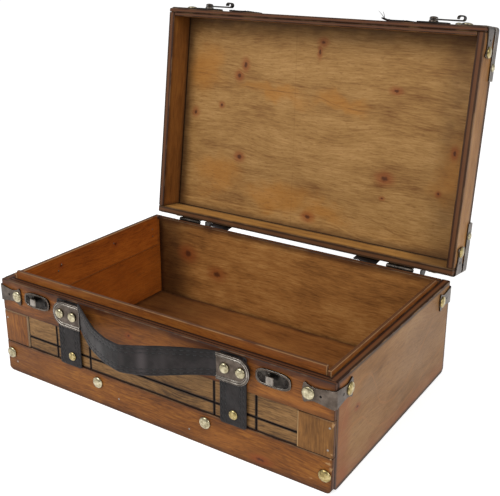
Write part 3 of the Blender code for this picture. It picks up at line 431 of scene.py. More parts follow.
@dataclass(frozen=True)
class StainedPlywood:
    """Thin basswood plywood, stained and rubbed, with edges darkened by hand and a thin satin varnish.

    Colours are those of the dark, middle and light parts of the figure, and lining holds the same three
    for a board's inner face. Sizes are in millimetres.
    """

    name: str
    slot: str
    dark: str
    middle: str
    light: str
    # Tint and weight of the board's patches: orange stain on most boards, a greyish painted sheen on the
    # base's sides.
    stain_and_sheen_tint: str = "#9a5f28"
    stain_and_sheen_weight: float = 0.5
    lining: tuple[str, str, str] | None = None
    darkened_tone: str = "#33170c"
    soot: str = "#150a06"
    knot: str = "#401d0d"
    halo: str = "#853d18"
    # Colour of chips, and of the pale line along the edges, partly rubbing and partly a painted highlight.
    pale_marks: str = "#a98257"
    halo_share: float = 0.62
    knot_share: float = 0.8
    chip_share: float = 0.9
    band: float = 7.5
    bands: float = 0.2
    fibres: float = 0.34
    blotches: float = 0.4
    flecks: float = 0.35
    darkening_width: float = 5.0
    edge_darkening: float = 0.5
    joint: float = 0.75
    joint_width: float = 0.8
    score: float = 0.0
    score_from: float = 0.02
    score_to: float = 0.07
    # Strength and spread of that pale edge line.
    pale_share: float = 0.4
    pale_line_from: float = 0.46
    pale_line_over: float = 0.14
    uneven: float = 17.0
    darkening_wander: float = 0.9
    rim_share: float = 0.85
    ply: tuple[tuple[float, str], ...] = ((0.0, "#29150b"), (0.3, "#59351f"), (0.72, "#261209"))

    def paint(self, board: "Board", middle: Vector, half: Vector) -> Material:
        """Makes this finish for one board.

        Args:
            board: The board, for its grain, knots and seed.
            middle: The board's middle in closed-box millimetres, in grain order.
            half: Half its sizes, in the same order.

        Returns:
            The material.
        """
        material, tree, shader = new_material(f"{self.name}_{board.node}")
        parts = add_node(tree, SPLIT, {0: object_mm(tree, board.on_lid)}).outputs
        grain = add_node(tree, JOIN, {
            axis: parts[name] for axis, name in zip("XYZ", board.grain.value)}).outputs[0]
        edges = add_node(tree, GROUP, {"Vector": grain, "Middle": middle, "Half": half},
                         node_tree=SHOP.group(edge_group)).outputs
        bent, knots = self.knotted(tree, grain, board.knots, middle.z)
        figure = add_node(tree, GROUP, {"Vector": bent, "Seed": board.seed, "Band": self.band},
                          node_tree=SHOP.group(figure_group)).outputs

        color = self.figured(tree, figure, edges, middle.z > 0)
        if board.patches:
            color = self.mixed(tree, color, self.stain_and_sheen_share(tree, grain, board.patches), self.stain_and_sheen_weight, self.stain_and_sheen_tint)
        color = self.mixed(tree, color, figure["Flecks"], self.flecks, self.dark)
        for line in board.lines:
            near = self.drawn(tree, grain, line, middle, half)
            color = self.mixed(tree, color, near, line.share, line.code or self.dark)
        if knots:
            color = self.mixed(tree, color, knots["Halo"], self.halo_share, self.halo)
            color = self.mixed(tree, color, knots["Heart"], self.knot_share, self.knot)
        color = self.finish_edges(tree, color, grain, edges, board)
        if board.chips:
            _, chips = self.knotted(tree, grain, board.chips, middle.z)
            color = self.mixed(tree, color, chips["Heart"], self.chip_share, self.pale_marks)

        relief = add_node(tree, MATH, {0: figure["Fibres"], 1: figure["Flecks"]}, operation="SUBTRACT")
        feed(tree, shader, {
            "Base Color": color, "IOR": 1.5, "Specular IOR Level": 0.22, "Coat Weight": 0.03,
            "Coat Roughness": 0.3,
            "Roughness": add_node(tree, RANGE, {"Value": figure["Blotches"], "To Min": 0.62, "To Max": 0.5}),
            "Normal": add_node(tree, "ShaderNodeBump", {
                "Height": relief, "Strength": 0.3, "Distance": 0.0002})})
        return material

    def figured(self, tree: NodeTree, figure: Sockets, edges: Sockets, inner_is_low: bool) -> Node:
        """The colour of the plain face, and of the lining inside the box.

        Args:
            tree: The material's tree.
            figure: The sockets of the figure group.
            edges: The sockets of the edge group.
            inner_is_low: Whether the inner face is the one with the lower place through the board.

        Returns:
            The node that gives the colour.
        """
        tone = 0.5
        for label, weight in (("Bands", self.bands), ("Fibres", self.fibres), ("Blotches", self.blotches)):
            off = add_node(tree, MATH, {0: figure[label], 1: 0.5}, operation="SUBTRACT")
            tone = add_node(tree, MATH, {0: off, 1: weight, 2: tone}, operation="MULTIPLY_ADD")
        faces = []
        for shades in ((self.dark, self.middle, self.light), self.lining):
            if shades:
                face = add_node(tree, RAMP, {0: tone})
                set_ramp(face, list(zip((0.16, 0.5, 0.84), shades)))
                faces.append(face)
        if not self.lining:
            return faces[0]
        within = add_node(tree, MATH, {0: edges["Layer"], 1: 0.5},
                          operation="LESS_THAN" if inner_is_low else "GREATER_THAN")
        return add_node(tree, MIX, {0: within, 6: faces[0], 7: faces[1]}, data_type="RGBA")

    def knotted(self, tree: NodeTree, grain: NodeSocket, knots: Sequence[Knot],
                level: float) -> tuple[NodeSocket, dict[str, NodeSocket]]:
        """Bends the grain round each knot.

        Args:
            tree: The material's tree.
            grain: The place along the grain.
            knots: The board's knots.
            level: The board's middle through its thickness.

        Returns:
            The socket of the bent place, and those of the knots' hearts and halos; no such without knots.
        """
        found = {}
        for knot in knots:
            one = add_node(tree, GROUP, {"Vector": grain, **found, **knot.group_inputs(level)},
                           node_tree=SHOP.group(knot_group))
            grain = one.outputs["Vector"]
            found = {label: one.outputs[label] for label in ("Heart", "Halo")}
        return grain, found

    def stain_and_sheen_share(self, tree: NodeTree, grain: NodeSocket, patches: Sequence[Knot]) -> NodeSocket:
        """Gathers the board's tinted patches of stain and of painted sheen.

        Args:
            tree: The material's tree.
            grain: The place along the grain.
            patches: The patches, at least one.

        Returns:
            The socket of their share.
        """
        found = {}
        for patch in patches:
            one = add_node(tree, GROUP, {"Vector": grain, **found, **patch.group_inputs(0.0)},
                           node_tree=SHOP.group(patch_group))
            found = {"Share": one.outputs["Share"]}
        return found["Share"]

    def drawn(self, tree: NodeTree, grain: NodeSocket, line: GrainLine, middle: Vector, half: Vector) -> Node:
        """Draws a line of the figure through its points.

        Args:
            tree: The material's tree.
            grain: The place along the grain.
            line: The line.
            middle: The board's middle.
            half: Half its sizes.

        Returns:
            The node that gives how near the line is.
        """
        parts = add_node(tree, SPLIT, {0: grain}).outputs
        run, rise = (1, 0) if line.crosses else (0, 1)
        places = [point[::-1] if line.crosses else point for point in line.points]
        height = places[0][1]
        if any(place[1] != height for place in places):
            height = self.course(
                tree, parts[run], places, (middle[run], half[run]), (middle[rise], half[rise]))
        away = add_node(tree, MATH, {
            0: add_node(tree, MATH, {0: parts[rise], 1: height}, operation="SUBTRACT")}, operation="ABSOLUTE")
        near = add_node(tree, RANGE, {
            "Value": away, "From Min": line.width * LINE_CORE, "From Max": line.width, **FADING},
            interpolation_type="SMOOTHSTEP")
        breaks = add_node(tree, NOISE, {"Vector": grain, "Scale": 1 / BREAK_MM, "Detail": 2.0})
        strength = add_node(tree, RANGE, {
            "Value": breaks.outputs["Fac"], "From Min": BREAK_SPREAD[0], "From Max": BREAK_SPREAD[1],
            "To Min": line.least})
        return add_node(tree, MATH, {0: near, 1: strength}, operation="MULTIPLY")

    def course(self, tree: NodeTree, along: NodeSocket,
               places: Sequence[tuple[float, float]], run: tuple[float, float],
               rise: tuple[float, float]) -> Node:
        """The height of a bent line at each place along it.

        Args:
            tree: The material's tree.
            along: The socket of the place along the line.
            places: The line's points, along and across it.
            run: The board's middle and half size along the line.
            rise: Its middle and half size across the line.

        Returns:
            The node that gives the height.
        """
        share = add_node(tree, RANGE, {
            "Value": along, "From Min": run[0] - run[1], "From Max": run[0] + run[1]})
        curved = add_node(tree, "ShaderNodeFloatCurve", {"Value": share})
        curve = curved.mapping.curves[0]
        shares = [((x - run[0] + run[1]) / (2 * run[1]), (y - rise[0] + rise[1]) / (2 * rise[1]))
                  for x, y in places]
        curve.points[0].location, curve.points[-1].location = shares[0], shares[-1]
        for place in shares[1:-1]:
            curve.points.new(*place)
        curved.mapping.update()
        return add_node(tree, RANGE, {
            "Value": curved, "To Min": rise[0] - rise[1], "To Max": rise[0] + rise[1]})

    def mixed(self, tree: NodeTree, color: Node, share: NodeSocket | Node, weight: float, code: str) -> Node:
        """Mixes a colour into another.

        Args:
            tree: The material's tree.
            color: The node that gives the colour so far.
            share: The socket or node that gives where the new colour shows.
            weight: How strongly it shows there.
            code: The new colour.

        Returns:
            The mixing node.
        """
        weighed = add_node(tree, MATH, {0: share, 1: weight}, operation="MULTIPLY")
        return add_node(tree, MIX, {0: weighed, 6: color, 7: hex_color(code)}, data_type="RGBA")

    def finish_edges(self, tree: NodeTree, color: Node, grain: NodeSocket,
                     edges: Sockets, board: "Board") -> Node:
        """Adds the darkened edges, the plies on the rim and a pale line along the edges, partly rubbing and
        partly a painted highlight.

        Args:
            tree: The material's tree.
            color: The node that gives the face's colour.
            grain: The place in millimetres, along the grain in X.
            edges: The sockets of the edge group.
            board: The board, for its seed and how much of its outline its neighbours hide.

        Returns:
            The node that gives the finished colour.
        """
        uneven = add_node(tree, NOISE, {
            "Vector": grain, "W": board.seed, "Scale": 1 / self.uneven, "Detail": 2.5, "Roughness": 0.5},
            noise_dimensions="4D")
        shown = add_node(tree, MATH, {0: edges["Edge"], 1: board.hidden}, operation="SUBTRACT")
        wander = add_node(tree, MATH, {
            0: add_node(tree, MATH, {0: uneven.outputs["Fac"], 1: 0.5}, operation="SUBTRACT"),
            1: self.darkening_width * self.darkening_wander, 2: shown}, operation="MULTIPLY_ADD")
        edge_darkening = add_node(tree, RANGE, {
            "Value": wander, "From Min": 0.0, "From Max": self.darkening_width, **FADING},
            interpolation_type="SMOOTHERSTEP")
        color = self.mixed(tree, color, edge_darkening, self.edge_darkening, self.darkened_tone)
        joint = add_node(tree, RANGE, {
            "Value": shown, "From Min": self.joint_width * 0.4, "From Max": self.joint_width, **FADING})
        color = self.mixed(tree, color, joint, self.joint, self.soot)
        if self.score:
            deep = add_node(tree, RANGE, {
                "Value": edges["Layer"], "From Min": self.score_from, "From Max": self.score_to})
            color = self.mixed(tree, color, deep, self.score, self.soot)
        plies = add_node(tree, RAMP, {0: edges["Layer"]})
        set_ramp(plies, self.ply, linear=False)
        color = add_node(tree, MIX, {
            0: add_node(tree, MATH, {0: edges["Rim"], 1: self.rim_share},
                        operation="MULTIPLY"), 6: color, 7: plies}, data_type="RGBA")
        # A pale broken line along the edges: partly rubbing, partly a painted highlight on the eased edges.
        rubbed = add_node(tree, RANGE, {"Value": edges["Edge"], "From Min": 0.15, "From Max": 0.9, **FADING})
        where = add_node(tree, RANGE, {
            "Value": uneven.outputs["Fac"], "From Min": self.pale_line_from,
            "From Max": self.pale_line_from + self.pale_line_over})
        both = add_node(tree, MATH, {0: rubbed, 1: where}, operation="MULTIPLY")
        return self.mixed(tree, color, both, self.pale_share, self.pale_marks)


@dataclass(frozen=True)
class DarkLeather:
    """Thick dyed cowhide, rubbed grey where hands and bends scuff it, and across the handle's bends the grey
    is also a painted sheen; pebbled with a low sheen.

    Mottle, pebble and worn_size are the sizes of its patterns in millimetres.
    """

    name: str = "dyed_cowhide"
    slot: str = "leather"
    dark: str = "#100c0b"
    middle: str = "#1c1716"
    # The rubbed grey, also used for the handle's painted sheen.
    rubbed: str = "#4c4545"
    seam: str = "#0b0908"
    mottle: float = 9.0
    pebble: float = 1.1
    worn_size: float = 22.0
    pale_share: float = 0.35

    def paint(self) -> Material:
        """Makes the leather's material.

        Returns:
            The material, for meshes whose attributes "rub_and_sheen_mark" and "seam" say where it is rubbed
            grey, partly as painted sheen, and where it is sewn.
        """
        material, tree, shader = new_material(self.name)
        place = object_mm(tree)
        mottle = add_node(tree, NOISE, {"Vector": place, "Scale": 1 / self.mottle, "Detail": 4.0})
        color = add_node(tree, RAMP, {0: mottle.outputs["Fac"]})
        set_ramp(color, [(0.35, self.dark), (0.65, self.middle)])
        pebbles = add_node(tree, "ShaderNodeTexVoronoi", {"Vector": place, "Scale": 1 / self.pebble},
                           feature="SMOOTH_F1")
        pale_marks = add_node(tree, NOISE, {
            "Vector": place, "Scale": 1 / self.worn_size, "Detail": 5.0, "Roughness": 0.7})
        worn_share = add_node(tree, RANGE, {
            "Value": pale_marks.outputs["Fac"], "From Min": 0.45, "From Max": 0.7, "To Max": self.pale_share})
        rub_and_sheen_mark, seam = (add_node(tree, "ShaderNodeAttribute", {}, attribute_name=name).outputs["Fac"]
                        for name in ("rub_and_sheen_mark", "seam"))
        # The rubbed grey also lays the handle's bands of painted sheen.
        rub_and_sheen_share = add_node(tree, MATH, {0: worn_share, 1: rub_and_sheen_mark}, operation="MAXIMUM")
        for share, code in ((rub_and_sheen_share, self.rubbed), (seam, self.seam)):
            color = add_node(tree, MIX, {0: share, 6: color, 7: hex_color(code)}, data_type="RGBA")
        feed(tree, shader, {
            "Base Color": color, "Specular IOR Level": 0.22,
            "Roughness": add_node(tree, RANGE, {
                "Value": mottle.outputs["Fac"], "From Min": 0.3, "From Max": 0.7, "To Min": 0.42,
                "To Max": 0.6}),
            "Normal": add_node(tree, "ShaderNodeBump", {
                "Height": pebbles.outputs["Distance"], "Strength": 0.3, "Distance": 0.0003})})
        return material


@dataclass(frozen=True)
class AgedMetal:
    """Plated sheet steel or brass, chemically aged: an even dull plate, faint clouds of patina, fine pits.

    Cloud and pit are the sizes of those in millimetres; pits are drawn twice as coarse as real ones.
    """

    name: str
    slot: str
    dark: str
    middle: str
    bright: str
    rough: float = 0.4
    cloud: float = 7.0
    pit: float = 1.1
    relief: float = 0.2

    def paint(self) -> Material:
        """Makes the metal's material.

        Returns:
            The material.
        """
        material, tree, shader = new_material(self.name)
        place = object_mm(tree)
        clouds = add_node(tree, NOISE, {
            "Vector": place, "Scale": 1 / self.cloud, "Detail": 5.0, "Roughness": 0.6})
        color = add_node(tree, RAMP, {0: clouds.outputs["Fac"]})
        set_ramp(color, [(0.32, self.dark), (0.5, self.middle), (0.7, self.bright)])
        pits = add_node(tree, NOISE, {
            "Vector": place, "Scale": 1 / self.pit, "Detail": 3.0, "Roughness": 0.6})
        feed(tree, shader, {
            "Base Color": color, "Metallic": 1.0,
            "Roughness": add_node(tree, RANGE, {
                "Value": pits.outputs["Fac"], "From Min": 0.3, "From Max": 0.7,
                "To Min": self.rough + 0.1, "To Max": self.rough - 0.06}),
            "Normal": add_node(tree, "ShaderNodeBump", {
                "Height": pits.outputs["Fac"], "Strength": self.relief, "Distance": 0.0002})})
        return material


@dataclass(frozen=True)
class WaxedThread:
    """Waxed polyester thread, nearly black, with a faint shine. It is drawn half as thick again as real."""

    name: str = "waxed_thread"
    slot: str = "leather"
    light: str = "#131010"
    dark: str = "#060505"

    def paint(self) -> Material:
        """Makes the thread's material: twisted strands about 0.5 mm apart.

        Returns:
            The material.
        """
        material, tree, shader = new_material(self.name)
        strands = add_node(tree, "ShaderNodeTexWave", {
            "Vector": object_mm(tree), "Scale": 0.35, "Distortion": 2.0}, bands_direction="DIAGONAL")
        color = add_node(tree, MIX, {
            0: strands.outputs["Fac"], 6: hex_color(self.dark), 7: hex_color(self.light)}, data_type="RGBA")
        feed(tree, shader, {"Base Color": color, "Roughness": 0.6})
        return material


FRONT_WOOD = StainedPlywood(
    "stained_basswood", "front_wood", "#4a270b", "#7f4a19", "#a26827", stain_and_sheen_tint="#975d26", edge_darkening=0.4,
    darkening_width=4.0, joint=0.6, fibres=0.5, flecks=0.45)
LEFT_STILE_WOOD = replace(FRONT_WOOD, ply=((0.0, "#b59a78"), (0.5, "#8a6540")))
TOP_RAIL_WOOD = StainedPlywood(
    "stained_basswood", "front_wood", "#4a280e", "#814b1d", "#a0652a", stain_and_sheen_tint="#9c602a", darkening_width=6.5,
    fibres=0.45, flecks=0.4)
PALE_STILE_WOOD = StainedPlywood(
    "pale_stained_basswood", "front_wood", "#5d3b18", "#83582a", "#a5733b", fibres=0.45, edge_darkening=0.25, joint=0.3)
WINDOW_WOOD = StainedPlywood(
    "grey_brown_basswood", "front_panel_wood", "#452e18", "#7f5c34", "#9d7648", fibres=0.6, flecks=0.6,
    edge_darkening=0.0, joint=0.0, pale_share=0.0, score=0.95)
INNER_ORANGE = ("#6c310b", "#9e5217", "#b96823")
# The side's patch tint is a painted sheen: greyish light on the upper part of the face.
SIDE_WOOD = StainedPlywood(
    "side_basswood", "side_plywood", "#63411d", "#8b6134", "#a37b49", lining=INNER_ORANGE, edge_darkening=0.45,
    darkening_width=6.0, darkened_tone="#43230f", joint_width=3.6, stain_and_sheen_tint="#957b60", stain_and_sheen_weight=0.28, bands=0.09, fibres=0.24,
    flecks=0.36)
BACK_WOOD = StainedPlywood(
    "inner_basswood", "inside_wood", "#653d1a", "#9e6a35", "#c08d50", darkening_width=9.0, edge_darkening=0.7, bands=0.12,
    fibres=0.36, blotches=0.5)
FLOOR_WOOD = StainedPlywood(
    "inner_basswood", "inside_wood", "#58310f", "#875427", "#a16f38", darkening_width=9.0, edge_darkening=0.7)
# The lips' pale line along their edges is a painted highlight.
LEFT_LIP_WOOD = StainedPlywood(
    "lip_basswood", "lip_wood", *INNER_ORANGE, edge_darkening=0.3, darkening_width=3.0, joint=0.3, pale_share=0.75, pale_line_from=0.3,
    pale_marks="#c49a68")
LID_BACK_WOOD = StainedPlywood(
    "inner_basswood", "inside_wood", "#7c552b", "#b08042", "#d09f5c", darkening_width=7.0, edge_darkening=0.55)
LID_SIDE_WOOD = StainedPlywood(
    "side_basswood", "side_plywood", "#6d471f", "#986937", "#b3844d",
    lining=("#57320f", "#825022", "#9a672d"), edge_darkening=0.5, darkening_width=6.0)
LID_WOOD = StainedPlywood(
    "golden_basswood", "inside_wood", "#754c24", "#9e7642", "#b88e58", stain_and_sheen_tint="#ab702a", stain_and_sheen_weight=0.6, pale_share=0.2,
    darkening_width=9.0, edge_darkening=0.5, bands=0.14, fibres=0.42, blotches=0.42, flecks=0.45)
# Its pale line along the top edge is a painted highlight.
LIP_WOOD = StainedPlywood(
    "lip_basswood", "lip_wood", "#512a0d", "#824818", "#9b6327", edge_darkening=0.3, darkening_width=3.0, joint=0.3,
    pale_share=0.5, pale_line_from=0.34, pale_marks="#b98f5f")
COWHIDE = DarkLeather()
THREAD = WaxedThread()
PEWTER = AgedMetal("antiqued_pewter_plate", "pewter", "#433b34", "#564c44", "#6d6259", rough=0.34, cloud=8.0)
# Bright rolled edges of all plated parts: rubbed plating, and a painted highlight along every rolled edge.
PEWTER_EDGE = AgedMetal(
    "rubbed_and_highlight_pewter_edge", "pewter", "#958d84", "#b1aaa1", "#cec7be", rough=0.34, relief=0.0)
# Painted dark reflection: the handle plates' bead tops are dark so that their rolled edges read as two thin
# highlights.
PEWTER_BEAD = AgedMetal(
    "dark_reflection_pewter_bead", "pewter", "#38312c", "#4d453e", "#675e56", rough=0.3, relief=0.05)
PEWTER_TAB = AgedMetal("worn_pewter_tab", "pewter", "#6c645c", "#877f76", "#a49c93", rough=0.3, relief=0.05)
BLACK_PLATE = AgedMetal("blackened_plate", "pewter", "#1d1a18", "#2c2825", "#46413c", rough=0.34)
BRASS = AgedMetal(
    "antiqued_brass", "antique_brass", "#6b5c38", "#a08e5e", "#cdbd8c", rough=0.24, cloud=3.0, relief=0.08)
RIVET_BRASS = AgedMetal(
    "silvered_brass", "antique_brass", "#766c54", "#a59b7e", "#d3caac", rough=0.24, cloud=3.0, relief=0.08)
STEEL = AgedMetal("blackened_steel", "dark_steel", "#1f1c1a", "#34302c", "#57514b", rough=0.34)
WIRE = AgedMetal("drawn_steel_wire", "dark_steel", "#6b6660", "#928c84", "#b8b2aa", rough=0.4)
# Rolled steel edges: rubbed, with a painted highlight.
STEEL_EDGE = AgedMetal("rubbed_and_highlight_steel_edge", "dark_steel", "#46413c", "#69635c", "#928a80", rough=0.3)


def new_object(name: str, data: bpy.types.ID) -> Object:
    """Links data to the scene as an object at the origin.

    Args:
        name: The object's name.
        data: A mesh, a camera or a light.

    Returns:
        The object.
    """
    obj = bpy.data.objects.new(name, data)
    bpy.context.scene.collection.objects.link(obj)
    return obj


def bmesh_mesh(name: str, bm: BMesh, smooth_deg: float = 40.0) -> Mesh:
    """Turns a bmesh into a mesh with smooth faces and sharp edges past an angle.

    Args:
        name: The mesh's name.
        bm: The bmesh, which is freed.
        smooth_deg: Edges that turn more than this stay sharp.

    Returns:
        The mesh.
    """
    bmesh.ops.recalc_face_normals(bm, faces=bm.faces)
    for face in bm.faces:
        face.smooth = True
    for edge in bm.edges:
        edge.smooth = edge.is_manifold and edge.calc_face_angle(0.0) < math.radians(smooth_deg)
    mesh = bpy.data.meshes.new(name)
    bm.to_mesh(mesh)
    bm.free()
    return mesh


def merged(mesh: Mesh) -> BMesh:
    """Copies a CAD mesh with its doubled corners merged and its flat faces joined.

    Args:
        mesh: The CAD node's mesh.

    Returns:
        The copy.
    """
    bm = bmesh.new()
    bm.from_mesh(mesh)
    bmesh.ops.remove_doubles(bm, verts=bm.verts, dist=MERGE_REACH)
    bmesh.ops.dissolve_limit(bm, angle_limit=math.radians(FLAT_DEG), verts=bm.verts, edges=bm.edges)
    return bm


def plain_copy(obj: Object) -> Mesh:
    """Applies an object's modifiers and removes them.

    Args:
        obj: The object.

    Returns:
        Its mesh with the modifiers applied.
    """
    graph = bpy.context.evaluated_depsgraph_get()
    mesh = bpy.data.meshes.new_from_object(obj.evaluated_get(graph))
    obj.modifiers.clear()
    return mesh


def turned(profile: Sequence[tuple[float, float]], steps: int) -> BMesh:
    """Turns a profile about the Z axis into a closed solid.

    Args:
        profile: Radius and height, from the axis back to the axis.
        steps: Steps round the axis.

    Returns:
        The solid.
    """
    bm = bmesh.new()
    rings = []
    for radius, height in profile:
        if radius < 1e-7:
            rings.append([bm.verts.new((0, 0, height))])
        else:
            rings.append([bm.verts.new((radius * math.cos(math.tau * i / steps),
                                        radius * math.sin(math.tau * i / steps), height))
                          for i in range(steps)])
    for low, high in zip(rings, rings[1:]):
        for i in range(steps):
            corners = [low[i % len(low)], low[(i + 1) % len(low)],
                       high[(i + 1) % len(high)], high[i % len(high)]]
            bm.faces.new(list(dict.fromkeys(corners)))
    return bm


def dome_profile(radius: float, rise: float, edge: float, rings: int = 7) -> list[tuple[float, float]]:
    """The profile of a domed head with a short upright edge.

    Args:
        radius: The head's radius.
        rise: Its height.
        edge: Height of the edge that stands upright.
        rings: Rings over the dome.

    Returns:
        Radius and height of each ring, closed underneath.
    """
    tilt = [math.radians(90 * i / rings) for i in range(rings + 1)]
    dome = [(radius * math.sin(a), edge + (rise - edge) * math.cos(a)) for a in tilt]
    return [*dome, (radius * 0.985, 0.0), (radius * 0.9, -edge * 0.4), (0.0, -edge * 0.4)]


@dataclass(frozen=True)
class Spot:
    """A fastener's place: where it sits, which way it faces, its size beside the pattern's, its turn."""

    at: Vector
    out: Vector
    size: float = 1.0
    spin: float = 0.0


def fastener_group() -> NodeTree:
    """Sets one fastener on each point, leaning a little and dented a little, each in its own way.

    Returns:
        The Geometry Nodes tree.
    """
    tree, given, out = new_group(
        "set_fasteners", "GeometryNodeTree",
        {"Geometry": "Geometry", "Pattern": "Object", "Metal": "Material", "Lean": "Float",
         "Dent Depth": "Float", "Dent Size": "Float", "Seed": "Int"}, {"Geometry": "Geometry"})
    facing, size, spin = (
        add_node(tree, "GeometryNodeInputNamedAttribute", {"Name": label}, data_type=kind)
        for label, kind in (("out", "FLOAT_VECTOR"), ("size", "FLOAT"), ("spin", "FLOAT")))
    lean = add_node(tree, "FunctionNodeRandomValue", {
        "Min": (-1.0, -1.0, 0.0), "Max": (1.0, 1.0, 0.0), "Seed": given["Seed"]}, data_type="FLOAT_VECTOR")
    leaning = add_node(tree, VECTOR, {0: lean, "Scale": given["Lean"]}, operation="SCALE")
    leant = add_node(tree, VECTOR, {0: facing, 1: leaning}, operation="ADD")
    turn = add_node(tree, "FunctionNodeAlignRotationToVector", {"Vector": leant}, axis="Z")
    spun = add_node(tree, "FunctionNodeRotateRotation", {
        "Rotation": turn,
        "Rotate By": add_node(tree, "FunctionNodeAxisAngleToRotation", {"Axis": (0, 0, 1), "Angle": spin})},
        rotation_space="LOCAL")
    pattern = add_node(tree, "GeometryNodeObjectInfo", {"Object": given["Pattern"]})
    placed = add_node(tree, "GeometryNodeInstanceOnPoints", {
        "Points": given["Geometry"], "Instance": pattern.outputs["Geometry"], "Rotation": spun,
        "Scale": size})
    real = add_node(tree, "GeometryNodeRealizeInstances", {"Geometry": placed})
    bumps = add_node(tree, NOISE, {
        "Vector": add_node(tree, "GeometryNodeInputPosition"),
        "Scale": add_node(tree, MATH, {0: 1.0, 1: given["Dent Size"]}, operation="DIVIDE"), "Detail": 2.0})
    depth = add_node(tree, MATH, {
        0: add_node(tree, MATH, {0: bumps.outputs[0], 1: 0.5}, operation="SUBTRACT"),
        1: given["Dent Depth"]}, operation="MULTIPLY")
    moved = add_node(tree, "GeometryNodeSetPosition", {
        "Geometry": real, "Offset": add_node(tree, VECTOR, {
            0: add_node(tree, "GeometryNodeInputNormal"), "Scale": depth}, operation="SCALE")})
    dressed = add_node(tree, "GeometryNodeSetMaterial", {"Geometry": moved, "Material": given["Metal"]})
    feed(tree, out, {"Geometry": dressed})
    return tree


def stitch_group() -> NodeTree:
    """Sews along the edges of a mesh: one stitch each pitch, a low bead of thread that dips at its ends.

    Returns:
        The Geometry Nodes tree.
    """
    tree, given, out = new_group(
        "sew_stitches", "GeometryNodeTree",
        {"Geometry": "Geometry", "Pitch": "Float", "Stitch": "Float", "Thread": "Float", "Lean": "Float",
         "Seed": "Int", "Material": "Material"}, {"Geometry": "Geometry"})
    seam = add_node(tree, "GeometryNodeMeshToCurve", {"Mesh": given["Geometry"]})
    points = add_node(tree, "GeometryNodeResampleCurve", {"Curve": seam, "Length": given["Pitch"]},
                      mode="LENGTH")
    bead = add_node(tree, "GeometryNodeMeshUVSphere", {"Segments": 6, "Rings": 6, "Radius": 0.5})
    along = add_node(tree, "FunctionNodeAlignRotationToVector", {
        "Vector": add_node(tree, "GeometryNodeInputTangent")}, axis="X")
    facing = add_node(tree, "GeometryNodeInputNamedAttribute", {"Name": "out"}, data_type="FLOAT_VECTOR")
    upright = add_node(tree, "FunctionNodeAlignRotationToVector", {"Rotation": along, "Vector": facing},
                       axis="Z", pivot_axis="X")
    sway = add_node(tree, "FunctionNodeRandomValue", {
        "Min": (-0.02, -0.02, -0.06), "Max": (0.02, 0.02, 0.06), "Seed": given["Seed"]},
        data_type="FLOAT_VECTOR")
    swayed = add_node(tree, "FunctionNodeRotateRotation", {
        "Rotation": upright, "Rotate By": add_node(tree, "FunctionNodeEulerToRotation", {
            "Euler": add_node(tree, VECTOR, {
                0: sway, 1: add_node(tree, JOIN, {"Z": given["Lean"]})},
                operation="ADD")})}, rotation_space="LOCAL")
    size = add_node(tree, JOIN, {"X": given["Stitch"], "Y": given["Thread"], "Z": given["Thread"]})
    sewn = add_node(tree, "GeometryNodeInstanceOnPoints", {
        "Points": points, "Instance": bead.outputs["Mesh"], "Rotation": swayed, "Scale": size})
    real = add_node(tree, "GeometryNodeRealizeInstances", {"Geometry": sewn})
    smooth = add_node(tree, "GeometryNodeSetShadeSmooth", {"Geometry": real})
    dressed = add_node(tree, "GeometryNodeSetMaterial", {"Geometry": smooth, "Material": given["Material"]})
    feed(tree, out, {"Geometry": dressed})
    return tree


def run_tree(name: str, mesh: Mesh, tree: NodeTree, values: dict) -> Object:
    """Runs a Geometry Nodes tree on a mesh and keeps the result as a plain mesh.

    Args:
        name: Name of the new piece.
        mesh: What the tree starts from.
        tree: The tree.
        values: The tree's inputs by name.

    Returns:
        The piece.
    """
    obj = new_object(name, mesh)
    modifier = obj.modifiers.new("make", "NODES")
    modifier.node_group = tree
    sockets = {item.name: item.identifier for item in tree.interface.items_tree
               if item.item_type == "SOCKET" and item.in_out == "INPUT"}
    for label, value in values.items():
        modifier[sockets[label]] = value
    obj.data = plain_copy(obj)
    return obj


def points_mesh(spots: Iterable[Spot]) -> Mesh:
    """Makes a mesh of loose points, one for each fastener.

    Args:
        spots: The fasteners' places.

    Returns:
        The mesh, with the attributes "out", "size" and "spin".
    """
    spots = list(spots)
    mesh = bpy.data.meshes.new("spots")
    mesh.from_pydata([spot.at for spot in spots], [], [])
    for label, kind, key in (("out", "FLOAT_VECTOR", "vector"), ("size", "FLOAT", "value"),
                             ("spin", "FLOAT", "value")):
        attribute = mesh.attributes.new(label, kind, "POINT")
        for item, spot in zip(attribute.data, spots):
            setattr(item, key, getattr(spot, label))
    return mesh


def seam_mesh(lines: Sequence[Sequence[tuple[Vector, Vector]]]) -> Mesh:
    """Makes a mesh of edges that stitches follow.

    Args:
        lines: Each seam's points, with the direction out of the leather there.

    Returns:
        The mesh, with the attribute "out".
    """
    mesh = bpy.data.meshes.new("seams")
    points = [pair for line in lines for pair in line]
    edges, first = [], 0
    for line in lines:
        edges += [(first + i, first + i + 1) for i in range(len(line) - 1)]
        first += len(line)
    mesh.from_pydata([point for point, _ in points], edges, [])
    attribute = mesh.attributes.new("out", "FLOAT_VECTOR", "POINT")
    for item, (_, out) in zip(attribute.data, points):
        item.vector = out
    return mesh


def on_front(x: float, z: float, out: float) -> Vector:
    """A point that stands this far out of the base's front."""
    return Vector((x, FRONT_Y - out, z))


def closed_box(node: str) -> tuple[Vector, Vector]:
    """A lid node's box with the lid shut.

    Args:
        node: The node's name.

    Returns:
        Its lowest and its highest corner.
    """
    places = [CLOSE @ v.co for v in frame["nodes"][node].data.vertices]
    return (Vector([min(p[i] for p in places) for i in range(3)]),
            Vector([max(p[i] for p in places) for i in range(3)]))


